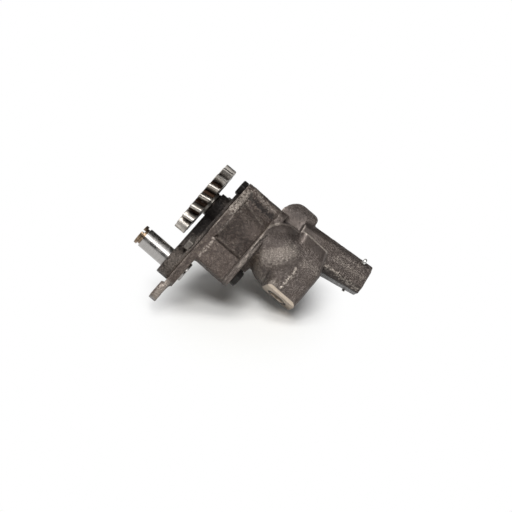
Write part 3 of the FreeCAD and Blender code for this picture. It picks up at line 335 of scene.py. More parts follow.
@dataclass(frozen=True)
class GroundSteel:
    """Hardened steel ground round its axis: bright, with fine rings in two tones and smears in its shine."""

    name: str
    tone: str
    shade: str
    roughness: float
    metallic: float = 1.0
    ring_mm: float = 0.7

    def material(self) -> Material:
        """Builds the material.

        Returns:
            The finished material.
        """
        material, tree = new_material(self.name)
        # Grinding rings are under 0.1 mm apart; they are drawn about ring_mm apart
        rings = speckle(tree, self.ring_mm, 0.3, 0.7, 2.0, (1.0, 0.02, 0.02))
        smears = speckle(tree, 7.0, 0.4, 0.7)
        colour = layered(tree, self.tone, (rings, self.shade))
        rough = add_node(tree, "MapRange", {
            "Value": smears, "To Min": self.roughness * 0.8, "To Max": self.roughness * 1.4})
        shader = add_node(tree, "BsdfPrincipled", {
            "Base Color": colour, "Metallic": self.metallic, "Roughness": rough.outputs[0]})
        add_node(tree, "OutputMaterial", {"Surface": shader.outputs[0]})
        return material


@dataclass(frozen=True)
class OiledHobbedSteel:
    """Hobbed gear steel, bright on the flanks, with dried brown oil in the gaps, darkened further towards the roots as
    painted shade.
    """

    name: str
    bright: str
    dull: str
    oil: str
    tip_mm: float
    root_mm: float
    roughness: float

    def material(self) -> Material:
        """Builds the material.

        Returns:
            The finished material.
        """
        material, tree = new_material(self.name)
        flat = chained(tree, "VectorMath", add_node(tree, "TexCoord").outputs["Object"],
                       ("SUBTRACT", (0, 0, SHAFT_RISE * MM)), ("MULTIPLY", (0, 1, 1)))
        reach = add_node(tree, "VectorMath", {0: flat}, operation="LENGTH").outputs["Value"]
        depth = add_node(tree, "MapRange", {
            "Value": reach, "From Min": self.tip_mm * MM, "From Max": self.root_mm * MM}).outputs[0]
        # Draw marks of the hob lie under 0.1 mm apart and run along the tooth; they are drawn at 0.9 mm
        feed = speckle(tree, 0.9, 0.35, 0.65, 2.0, (0.06, 1.0, 1.0))
        blotches = speckle(tree, 2.5, 0.3, 0.7)
        # Brown oil in the tooth gaps together with painted shade, both deepening towards the roots
        oiled = add_node(tree, "MapRange", {
            "Value": chained(tree, "Math", depth, ("MULTIPLY", blotches), ("ADD", depth)),
            "From Min": 0.35, "From Max": 1.25})
        colour = layered(tree, self.bright, (feed, self.dull), (oiled.outputs[0], self.oil))
        rough = add_node(tree, "MapRange", {
            "Value": oiled.outputs[0], "To Min": self.roughness, "To Max": self.roughness * 1.5})
        bump = add_node(tree, "Bump", {"Strength": 0.3, "Distance": 0.012 * MM, "Height": feed})
        shader = add_node(tree, "BsdfPrincipled", {
            "Base Color": colour, "Metallic": 1.0, "Roughness": rough.outputs[0], "Normal": bump.outputs[0]})
        add_node(tree, "OutputMaterial", {"Surface": shader.outputs[0]})
        return material


BODY_IRON = SandCastIron("sand_cast_iron_body", "433a36", "73685f", "4a3f39", "c0b5aa", "171210", 0.36)
HOUSING_IRON = SandCastIron("sand_cast_iron_housing", "49413d", "776e68", "50463f", "c9beb2", "1c1715", 0.31)
# The cover's dark skin is partly its own near-black finish and partly painted shade from the gear; its turned nose is
# darkened as painted shade
COVER_IRON = SandCastIron("sand_cast_iron_cover", "1f1a18", "3e3632", "28211e", "958a80", "0a0807", 0.42)
CUT_IRON = MilledIron("milled_cast_iron", "cfc1b1", "a5988a", 0.42)
SHADED_NOSE_CUT = MilledIron("turned_cast_iron_nose_in_shade", "4b4540", "38332f", 0.4)
JOURNAL_STEEL = GroundSteel("ground_hardened_steel", "aeaba8", "a4a19e", 0.3)
COLLAR_STEEL = Finish("tempered_steel_collar", "97836c", "6b5c4e", 0.34, patch_mm=2.0)
PIN_STEEL = GroundSteel("ground_pin_steel", "b5b3b0", "9c9a96", 0.28)
GEAR_STEEL = OiledHobbedSteel("oiled_hobbed_steel", "b9b4ad", "8f8982", "2c211a", 41.0, 34.0, 0.34)
GEAR_FACE = MilledIron("turned_gear_steel", "8d8881", "6c6761", 0.32, SHAFT_RISE, 0.8)
WASHER_STEEL = Finish("oiled_washer_steel", "35302d", "201c1a", 0.4, patch_mm=2.0)
PUMP_GEAR_STEEL = Finish("hobbed_steel_oiled", "9b9792", "75706a", 0.3)
BRONZE = Finish("bearing_bronze_bored", "b08a55", "8e6c40", 0.3)
DULL_ZINC = Finish("dull_zinc_plate", "7e7872", "5f5a55", 0.42, patch_mm=1.6)
BLACK_OXIDE = Finish("black_oxide_steel", "1f1d1c", "2e2b29", 0.38, 0.7, 1.8)
SPRING_STEEL = Finish("drawn_spring_steel", "8b8985", "67645f", 0.32)
BRIGHT_ZINC = Finish("bright_zinc_wire", "dcdcd8", "b9b8b3", 0.22, patch_mm=1.2)
GASKET_FIBRE = Finish("compressed_gasket_fibre", "5e544e", "6f655e", 0.85, 0.0, 1.0)
SEAL_RUBBER = Finish("moulded_seal_rubber", "161616", "202020", 0.55, 0.0, 1.5)


# Mesh making


def link_piece(name: str, mesh: Mesh) -> Piece:
    """Makes an object of a mesh and puts it in the scene.

    Args:
        name: the piece's name.
        mesh: its mesh.

    Returns:
        The new object.
    """
    piece = bpy.data.objects.new(name, mesh)
    bpy.context.scene.collection.objects.link(piece)
    return piece


def mesh_of(name: str, points: list[Vector], faces: list[tuple[int, ...]]) -> Mesh:
    """Makes a mesh of points given in millimetres, with its normals facing out.

    Args:
        name: the mesh's name.
        points: corners in millimetres.
        faces: corner numbers of each face.

    Returns:
        The mesh, in metres.
    """
    mesh = bpy.data.meshes.new(name)
    mesh.from_pydata([Vector(point) * MM for point in points], [], faces)
    tidy = bmesh.new()
    tidy.from_mesh(mesh)
    bmesh.ops.remove_doubles(tidy, verts=tidy.verts, dist=0.002 * MM)
    bmesh.ops.recalc_face_normals(tidy, faces=tidy.faces)
    tidy.to_mesh(mesh)
    tidy.free()
    return mesh


def smooth_with_edges(mesh: Mesh, degrees: float = 32.0) -> None:
    """Shades a mesh smooth, with its edges over the angle kept sharp."""
    mesh.shade_smooth()
    mesh.set_sharp_from_angle(angle=math.radians(degrees))


def coat(mesh: Mesh, *finishes: object) -> None:
    """Gives a mesh the materials of these finishes and no others.

    Args:
        mesh: the mesh to coat.
        finishes: the finishes, in the order of the faces' material numbers.
    """
    mesh.materials.clear()
    for finish in finishes:
        mesh.materials.append(finish.material())


def apply_modifiers(piece: Piece) -> None:
    """Replaces a piece's mesh by the result of its modifiers.

    Args:
        piece: the piece to change.
    """
    graph = bpy.context.evaluated_depsgraph_get()
    result = bpy.data.meshes.new_from_object(piece.evaluated_get(graph))
    piece.modifiers.clear()
    piece.data = result


def cut_away(piece: Piece, tool: Mesh) -> None:
    """Cuts a closed mesh out of a piece.

    Args:
        piece: the piece to cut.
        tool: the closed mesh to take away.
    """
    cutter = link_piece("cutter", tool)
    step = piece.modifiers.new("cut", "BOOLEAN")
    step.operation = "DIFFERENCE"
    step.solver = "EXACT"
    step.object = cutter
    apply_modifiers(piece)
    bpy.data.objects.remove(cutter)


def circle_steps(count: int) -> list[tuple[float, float]]:
    """The cosine and sine of equal steps round a circle."""
    return [(math.cos(2 * math.pi * step / count), math.sin(2 * math.pi * step / count)) for step in range(count)]


class Loft:
    """Points and faces of bodies that are each made of a row of rings."""

    def __init__(self) -> None:
        """Starts without a body."""
        self.points: list[Vector] = []
        self.faces: list[tuple[int, ...]] = []

    def add(self, rings: list[list[Vector]], capped: bool = True, looped: bool = False) -> None:
        """Adds a body.

        Args:
            rings: each ring's points in millimetres, where a ring of one point is a tip.
            capped: whether the first and the last ring become faces.
            looped: whether the last ring is joined to the first.
        """
        numbers = []
        for ring in rings:
            numbers.append(range(len(self.points), len(self.points) + len(ring)))
            self.points += ring
        for near, far in zip(numbers, numbers[1:] + (numbers[:1] if looped else [])):
            count = max(len(near), len(far))
            for step in range(count):
                following = (step + 1) % count
                corners = (near[step % len(near)], near[following % len(near)],
                           far[following % len(far)], far[step % len(far)])
                self.faces.append(tuple(dict.fromkeys(corners)))
        if capped:
            self.faces += [tuple(numbers[0]), tuple(numbers[-1])]


def box_mesh(name: str, low: Vector, high: Vector, turn: Matrix | None = None) -> Mesh:
    """A plain box, used only as a cutting tool.

    Args:
        name: the mesh's name.
        low: lowest corner in millimetres.
        high: highest corner in millimetres.
        turn: rotation about the origin.

    Returns:
        The mesh.
    """
    corners = [Vector((x, y, z)) for x in (low.x, high.x) for y in (low.y, high.y) for z in (low.z, high.z)]
    if turn is not None:
        corners = [turn @ corner for corner in corners]
    return mesh_of(name, corners, [(0, 1, 3, 2), (4, 5, 7, 6), (0, 1, 5, 4), (2, 3, 7, 6), (0, 2, 6, 4), (1, 3, 7, 5)])


def sheet_mesh(name: str, wide: float, high: float) -> Mesh:
    """A flat rectangle about the origin, with its sizes in millimetres."""
    corners = [Vector((x * wide / 2, y * high / 2, 0)) for x, y in ((-1, -1), (1, -1), (1, 1), (-1, 1))]
    return mesh_of(name, corners, [(0, 1, 2, 3)])


# Castings


def ramp(values: np.ndarray, start: float, width: float) -> np.ndarray:
    """Rises from 0 at the start to 1 a width further on, where a negative width runs the other way."""
    return np.clip((values - start) / width, 0, 1)


@dataclass(frozen=True)
class Bore:
    """A machined hole that stays true while the casting round it is softened."""

    centre: Point
    axis: Axis
    radius: float
    length: float

    def holds(self, points: np.ndarray, slack: float) -> np.ndarray:
        """Finds the points on the hole's wall.

        Args:
            points: points in millimetres.
            slack: how far off the wall a point may be.

        Returns:
            True for each point on the wall.
        """
        direction = np.array(self.axis.value)
        offset = points - np.array(self.centre)
        along = offset @ direction
        away = np.linalg.norm(offset - np.outer(along, direction), axis=1)
        return (np.abs(away - self.radius) < slack) & (along > -slack) & (along < self.length + slack)


@dataclass(frozen=True)
class Facing:
    """A machined plane of a casting, square to an axis."""

    normal: Point
    level: float
    alike: float = 0.8

    def holds(self, points: np.ndarray, normals: np.ndarray, slack: float) -> np.ndarray:
        """Finds the points on the plane that face the same way.

        Args:
            points: points in millimetres.
            normals: unit normals at the points.
            slack: how far off the plane a point may be.

        Returns:
            True for each point on the plane.
        """
        direction = np.array(self.normal)
        near = np.abs(points @ direction - self.level) < slack
        return near & (normals @ direction > self.alike)


@dataclass(frozen=True)
class Trace:
    """A mark along the near side of a casting, such as a parting line, a worn edge, a painted highlight or painted
    shade in a crease or corner.

    The line is given by its X and Z, and the mark keeps to skin that faces the near side.
    """

    look: Look
    line: tuple[tuple[float, float], ...]
    width: float
    strength: float = 1.0
    rise: float = 0.0
    ragged: float = 0.5
    farthest: float = 10.0
    grit_reach: float = 1.6
    fade: float = 0.45

    def weight(self, skin: "Skin") -> np.ndarray:
        """How strongly each point is marked.

        Args:
            skin: the casting's surface.

        Returns:
            A number from 0 to 1 for each point.
        """
        spots = skin.points[:, (0, 2)]
        nearest = np.full(skin.count, 1e9)
        for start, end in zip(self.line, self.line[1:]):
            way = np.array(end) - np.array(start)
            share = np.clip((spots - np.array(start)) @ way / max(way @ way, 1e-9), 0, 1)
            nearest = np.minimum(nearest, np.linalg.norm(spots - np.array(start) - np.outer(share, way), axis=1))
        faces_near = np.clip(-skin.normals[:, 1] * 3 - 0.1, 0, 1) * (skin.points[:, 1] < self.farthest)
        edge = 1 + self.ragged * self.grit_reach * skin.grit
        return np.clip((edge - nearest / self.width) / self.fade, 0, 1) * faces_near


class Skin:
    """The surface of a casting as arrays, in millimetres, while it is shaped."""

    STEP_SHARE = 0.5
    PASSES_PER_WRITE = 6

    def __init__(self, mesh: Mesh) -> None:
        """Reads a mesh.

        Args:
            mesh: the mesh to shape, in metres.
        """
        self.mesh = mesh
        self.count = len(mesh.vertices)
        self.points = np.empty(self.count * 3)
        mesh.vertices.foreach_get("co", self.points)
        self.points = self.points.reshape(-1, 3) / MM
        ends = np.empty(len(mesh.edges) * 2, dtype=np.int64)
        mesh.edges.foreach_get("vertices", ends)
        self.first = ends[0::2]
        self.last = ends[1::2]
        self.valence = np.bincount(self.first, minlength=self.count) + np.bincount(self.last, minlength=self.count)
        self.normals = self.read_normals()
        self.grit = np.zeros(self.count)

    def read_normals(self) -> np.ndarray:
        """Reads the unit normals of the mesh as it is now.

        Returns:
            One normal for each point.
        """
        normals = np.empty(self.count * 3)
        self.mesh.vertices.foreach_get("normal", normals)
        return normals.reshape(-1, 3)

    def write(self) -> None:
        """Writes the points back and reads the new normals."""
        self.mesh.vertices.foreach_set("co", (self.points * MM).ravel())
        self.mesh.update()
        self.normals = self.read_normals()

    def around(self, values: np.ndarray) -> np.ndarray:
        """The mean of each point's neighbours.

        Args:
            values: one row for each point.

        Returns:
            The mean rows.
        """
        columns = []
        for column in np.atleast_2d(values.T):
            total = np.bincount(self.first, weights=column[self.last], minlength=self.count)
            total += np.bincount(self.last, weights=column[self.first], minlength=self.count)
            columns.append(total / np.maximum(self.valence, 1))
        return np.array(columns).T.reshape(values.shape)

    def relax(self, share: np.ndarray, passes: int, inward: float) -> None:
        """Softens the surface: corners that go in are filled, and edges that stand out are rounded less.

        Args:
            share: how far each point may follow, from 0 to 1.
            passes: number of passes.
            inward: the part of each inward move that is kept.
        """
        for step in range(passes):
            move = self.around(self.points) - self.points
            filling = np.einsum("ij,ij->i", move, self.normals) > 0
            weight = share * self.STEP_SHARE * np.where(filling, 1.0, inward)
            self.points += move * weight[:, None]
            if (step + 1) % self.PASSES_PER_WRITE == 0:
                self.write()
        self.write()

    def noise(self, cell_mm: float) -> np.ndarray:
        """Smooth noise at each point, in cells of this many millimetres."""
        return np.array([noise.noise(Vector(point) / cell_mm) for point in self.points])

    def store(self, name: str, values: np.ndarray) -> None:
        """Keeps one number for each point, for a material to read.

        Args:
            name: the attribute's name.
            values: the numbers.
        """
        layer = self.mesh.attributes.new(name, "FLOAT", "POINT")
        layer.data.foreach_set("value", values.astype(np.float32))


@dataclass
class Casting:
    """A sand casting that stands for one node of the frame."""

    node: str
    slot: str
    iron: SandCastIron
    cut: MilledIron
    facings: tuple[Facing, ...]
    bores: tuple[Bore, ...]
    traces: tuple[Trace, ...] = ()
    voxel_mm: float = 0.8
    fillet_passes: int = 40
    edge_share: float = 0.05
    edge_wear_and_highlight: float = 0.5
    grit_mm: float = 0.1
    lump_mm: float = 0.25
    grit_cell: float = 1.9
    lump_cell: float = 7.0
    first_passes: int = 4
    true_slack: float = 0.75
    sharp_bends: tuple[float, float] = (2.0, 98.5)
    bend_start: float = 0.45
    bend_passes: int = 3
    corner_shade: float = 0.3
    calm_share: float = 0.8

    def fillet_share(self, points: np.ndarray) -> np.ndarray:
        """How soft the corners are at each point, from 0 to 1."""
        return np.full(len(points), 0.6)

    def shape_more(self, skin: Skin, true: np.ndarray) -> None:
        """Adds nothing to a plain casting; a casting with forms of its own adds them here and marks what it machines
        as true.
        """

    def build(self) -> Piece:
        """Makes the casting from the node's own shape.

        Returns:
            The finished piece.
        """
        piece = link_piece(self.node + "_casting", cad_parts[self.node].data.copy())
        step = piece.modifiers.new("even", "REMESH")
        step.mode = "VOXEL"
        step.voxel_size = self.voxel_mm * MM
        apply_modifiers(piece)
        skin = Skin(piece.data)
        true = self.true_up(skin)
        skin.relax(np.where(true, 0.0, 1.0), self.first_passes, 1.0)
        self.shape_more(skin, true)
        share = np.where(true, 0.0, 1.0)
        skin.relax(share * self.fillet_share(skin.points), self.fillet_passes, self.edge_share)
        looks = self.wear_and_painted_light(skin)
        skin.grit = skin.noise(self.grit_cell)
        for trace in self.traces:
            weight = trace.weight(skin)
            looks[trace.look] = np.maximum(looks[trace.look], weight * trace.strength)
            skin.points += skin.normals * (weight * trace.rise)[:, None]
        self.roughen(skin, true, looks[Look.CALM])
        for look, values in looks.items():
            skin.store(look.value, values)
        self.hold_in_box(skin)
        skin.write()
        self.dress(piece, true)
        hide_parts(self.node)
        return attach(piece, Body.HOUSING.value)

    def true_up(self, skin: Skin) -> np.ndarray:
        """Lays the machined planes flat again after the remesh.

        Args:
            skin: the casting's surface.

        Returns:
            True for each point on a machined plane or bore.
        """
        slack = self.voxel_mm * self.true_slack
        true = np.zeros(skin.count, dtype=bool)
        for facing in self.facings:
            on_plane = facing.holds(skin.points, skin.normals, slack)
            direction = np.array(facing.normal)
            off = skin.points[on_plane] @ direction - facing.level
            skin.points[on_plane] -= np.outer(off, direction)
            true |= on_plane
        for bore in self.bores:
            true |= bore.holds(skin.points, slack)
        return true

    def wear_and_painted_light(self, skin: Skin) -> dict[Look, np.ndarray]:
        """Finds edges, which turn pale for worn skin and painted highlights, and corners, which get painted shade,
        from how the skin bends.

        Args:
            skin: the casting's surface.

        Returns:
            One number from 0 to 1 for each look and point.
        """
        bend = np.einsum("ij,ij->i", skin.around(skin.points) - skin.points, skin.normals)
        for _ in range(self.bend_passes):
            bend = skin.around(bend)
        # Pale on convex edges is worn skin with a painted highlight; dark in concave corners is painted shade
        pale, dark = (np.clip(bend / limit - self.bend_start, 0, 1) for limit in np.percentile(bend, self.sharp_bends))
        return {Look.PALE: pale * self.edge_wear_and_highlight, Look.DARK: dark * self.corner_shade, Look.CALM: np.zeros(skin.count)}

    def roughen(self, skin: Skin, true: np.ndarray, calm: np.ndarray) -> None:
        """Lays the grit of the sand mould over the skin.

        Args:
            skin: the casting's surface.
            true: the points that stay flat.
            calm: how smooth each point is, from 0 to 1.
        """
        grain = skin.grit * self.grit_mm + skin.noise(self.lump_cell) * self.lump_mm
        rise = np.where(true, 0.0, grain * (1 - self.calm_share * calm))
        skin.points += skin.normals * rise[:, None]

    def hold_in_box(self, skin: Skin) -> None:
        """Keeps every point inside the node's own box."""
        low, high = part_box(self.node)
        skin.points = np.clip(skin.points, np.array(low) / MM, np.array(high) / MM)

    def dress(self, piece: Piece, true: np.ndarray) -> None:
        """Gives the machined places their own finish.

        Args:
            piece: the casting.
            true: the points on machined places.
        """
        mesh = piece.data
        coat(mesh, self.iron, self.cut)
        corners = np.empty(len(mesh.loops), dtype=np.int64)
        mesh.loops.foreach_get("vertex_index", corners)
        starts = np.empty(len(mesh.polygons), dtype=np.int64)
        mesh.polygons.foreach_get("loop_start", starts)
        index = np.minimum.reduceat(true[corners].astype(np.int32), starts)
        mesh.polygons.foreach_set("material_index", index.astype(np.int32))
        mesh.shade_smooth()


class PumpBodyCasting(Casting):
    """The body with its plate, foot, gear chamber, bolt column and square boss."""

    FOOT_TOP = 12.0
    SQUARE_TOP = 47.0
    LEAST_SHARE = 0.15
    BAND_EDGE = 0.7
    BAND_LOW = 13.0
    BAND_HIGH = 46.0
    BAND_DEPTH = 1.3
    # The plate's near outline as heights and depths, from the low side of the chamber to the bolt column
    PLATE_HEIGHTS = (45.0, 75.0, 80.0, 85.0, 90.0, 94.0, 100.0, 109.0)
    PLATE_DEPTHS = (-27.2, -27.3, -26.4, -24.5, -21.2, -17.2, -14.1, -10.2)
    VALLEY_HEIGHT = 102.8
    VALLEY_DEPTH = 2.6
    VALLEY_WIDTH = 2.6
    VALLEY_END = 33.0
    # How far to the near side a point lies on the chamber's wall, in the valley and beside the square boss
    WALL_SIDE = -15.0
    VALLEY_SIDE = -6.0
    BAND_SIDE = -18.0
    RAMP = 15.0
    RAMP_LOW = 46.0
    RAMP_HIGH = 80.0

    def fillet_share(self, points: np.ndarray) -> np.ndarray:
        """Blends the chamber's wall widely and the foot less.

        Args:
            points: points in millimetres.

        Returns:
            A share from 0 to 1 for each point.
        """
        foot = ramp(points[:, 2], self.FOOT_TOP, -10.0)
        square = ramp(points[:, 2], self.SQUARE_TOP, -4.0)
        return np.maximum(self.LEAST_SHARE, 1.0 - 0.7 * foot - 0.35 * square * (1 - foot))

    def shape_more(self, skin: Skin, true: np.ndarray) -> None:
        """Slopes the chamber's wall up to the plate, hollows the valley below the bolt column, and sets back the band.

        Args:
            skin: the casting's surface.
            true: the points on machined places; not used here.
        """
        x, y, z = skin.points.T
        outer = np.interp(z, self.PLATE_HEIGHTS, self.PLATE_DEPTHS)
        height = ramp(z, self.RAMP_LOW, 3.0) * ramp(z, self.RAMP_HIGH, -8.0)
        slope = np.clip(1 - x / self.RAMP, 0, 1) * height
        wall = (x > -0.5) & (skin.normals[:, 1] < -0.25) & (y > outer) & (y < self.WALL_SIDE)
        skin.points[:, 1] += np.where(wall, (outer - y) * slope, 0.0)
        valley = np.exp(-((z - self.VALLEY_HEIGHT) / self.VALLEY_WIDTH) ** 2) * ramp(x, 0.0, 3.0)
        valley *= ramp(x, self.VALLEY_END, -4.0) * self.VALLEY_DEPTH
        skin.points[:, 1] += np.where((y < self.VALLEY_SIDE) & (skin.normals[:, 1] < -0.4), valley, 0.0)
        height = ramp(z, self.BAND_LOW, 3.0) * ramp(z, self.BAND_HIGH, -3.0)
        beside = (x < self.BAND_EDGE) & (y < self.BAND_SIDE)
        skin.points[:, 1] += np.where(beside, height * self.BAND_DEPTH, 0.0)
        skin.write()


class FrontCoverCasting(Casting):
    """The cover with its machined nose round both shafts."""


class RearHousingCasting(Casting):
    """The housing with its dome, outlet neck, inlet boss and relief barrel."""

    NECK_FACE = -33.0
    NECK_SIDE = -22.0
    NECK_START = 72.0
    NECK_END = 110.0
    PORT_LEVEL = 41.5
    RIM_HEIGHT = 3.2
    RIM_REACH = 9.0
    RIM_WANDER = 0.8
    BARREL_START = 104.0
    BARREL_UNDER_SHADE = 0.8
    FLANGE_END = 46.0
    DOME_END = 84.0

    def shape_more(self, skin: Skin, true: np.ndarray) -> None:
        """Grinds a sloping rim along the near edge of the port face.

        Args:
            skin: the casting's surface.
            true: the points on machined places.
        """
        x, y, z = skin.points.T
        wander = np.array([noise.noise(Vector((along / 4.0, 0.5, 0.2))) for along in x]) * self.RIM_WANDER
        over = self.NECK_FACE - y + self.PORT_LEVEL + self.RIM_HEIGHT + wander - z
        rim = (over > 0) & (x > self.NECK_START) & (x < self.NECK_END) & (y < self.NECK_SIDE)
        rim &= z < self.PORT_LEVEL + self.RIM_REACH
        skin.points[:, 1:] += np.where(rim, over / 2, 0.0)[:, None]
        true |= rim
        skin.write()

    def wear_and_painted_light(self, skin: Skin) -> dict[Look, np.ndarray]:
        """Adds painted shade that darkens the barrel's underside.

        Args:
            skin: the casting's surface.

        Returns:
            One number from 0 to 1 for each look and point.
        """
        looks = super().wear_and_painted_light(skin)
        # Painted shade on the barrel's downward-facing skin
        below = np.clip(-skin.normals[:, 2] * 2.5 - 1.1, 0, 1) * ramp(skin.points[:, 0], self.BARREL_START, 4.0)
        looks[Look.DARK] = np.maximum(looks[Look.DARK], below * self.BARREL_UNDER_SHADE)
        return looks

    def fillet_share(self, points: np.ndarray) -> np.ndarray:
        """Blends the dome into the duct widely, and the flange, neck and barrel less.

        Args:
            points: points in millimetres.

        Returns:
            A share from 0 to 1 for each point.
        """
        flange = ramp(points[:, 0], self.FLANGE_END, -4.0)
        neck = ramp(points[:, 0], self.DOME_END, 12.0)
        return 1.0 - 0.75 * flange - 0.6 * neck * (1 - flange)


# Steel pieces


@dataclass
class IdlerShaft:
    """The ground shaft that carries an idler gear, with a groove and a slotted collar at its end."""

    radius: float = 11.0
    pressed_radius: float = 11.5
    nose_x: float = -22.6
    groove_start: float = -54.0
    groove_width: float = 2.9
    groove_depth: float = 2.0
    end: float = -60.0
    spigot: float = 2.2
    chamfer: float = 0.5
    soft: float = 0.25
    press_chamfer: float = 0.4
    slot_width: float = 2.6
    slot_rise: float = 4.2
    slot_turn: float = math.radians(11)
    oil_radius: float = 3.0
    oil_depth: float = 27.0
    sides: int = 144

    def build(self) -> Piece:
        """Turns the shaft and cuts its slot.

        Returns:
            The finished piece.
        """
        groove_end = self.groove_start - self.groove_width
        root = self.radius - self.groove_depth
        soft = self.soft
        # Distances along the axis and radii, from the oil hole's end to the spigot's
        profile = [
            (self.end + self.oil_depth, 0.0),
            (self.end + self.oil_depth, self.oil_radius),
            (self.end + soft, self.oil_radius),
            (self.end, self.oil_radius + soft),
            (self.end, self.radius - self.chamfer),
            (self.end + self.chamfer, self.radius),
            (groove_end - soft, self.radius),
            (groove_end, self.radius - soft),
            (groove_end, root + soft),
            (groove_end + soft, root),
            (self.groove_start - soft, root),
            (self.groove_start, root + soft),
            (self.groove_start, self.radius - soft),
            (self.groove_start + soft, self.radius),
            (self.nose_x - 0.01, self.radius),
            (self.nose_x + self.press_chamfer, self.pressed_radius),
            (-self.press_chamfer, self.pressed_radius),
            (0.0, self.radius),
            (self.spigot - self.chamfer, self.radius),
            (self.spigot, self.radius - self.chamfer),
            (self.spigot, 0.0),
        ]
        along = Axis.SHAFT.value
        side = along.orthogonal().normalized()
        other = along.cross(side)
        loft = Loft()
        loft.add([[along * distance + (side * cosine + other * sine) * radius
                   for cosine, sine in circle_steps(self.sides if radius else 1)] for distance, radius in profile],
                 capped=False)
        piece = link_piece("idler_shaft_ground", mesh_of("idler_shaft", loft.points, loft.faces))
        cut_away(piece, box_mesh(
            "slot", Vector((self.end - 1, -20, self.slot_rise - self.slot_width / 2)),
            Vector((groove_end, 20, self.slot_rise + self.slot_width / 2)), Matrix.Rotation(self.slot_turn, 3, "X")))
        mesh = piece.data
        coat(mesh, JOURNAL_STEEL, COLLAR_STEEL)
        for face in mesh.polygons:
            face.material_index = 1 if face.center.x < (self.groove_start - self.groove_width * 0.5) * MM else 0
        smooth_with_edges(mesh)
        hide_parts("idler_shaft")
        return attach(piece, Body.HOUSING.value)


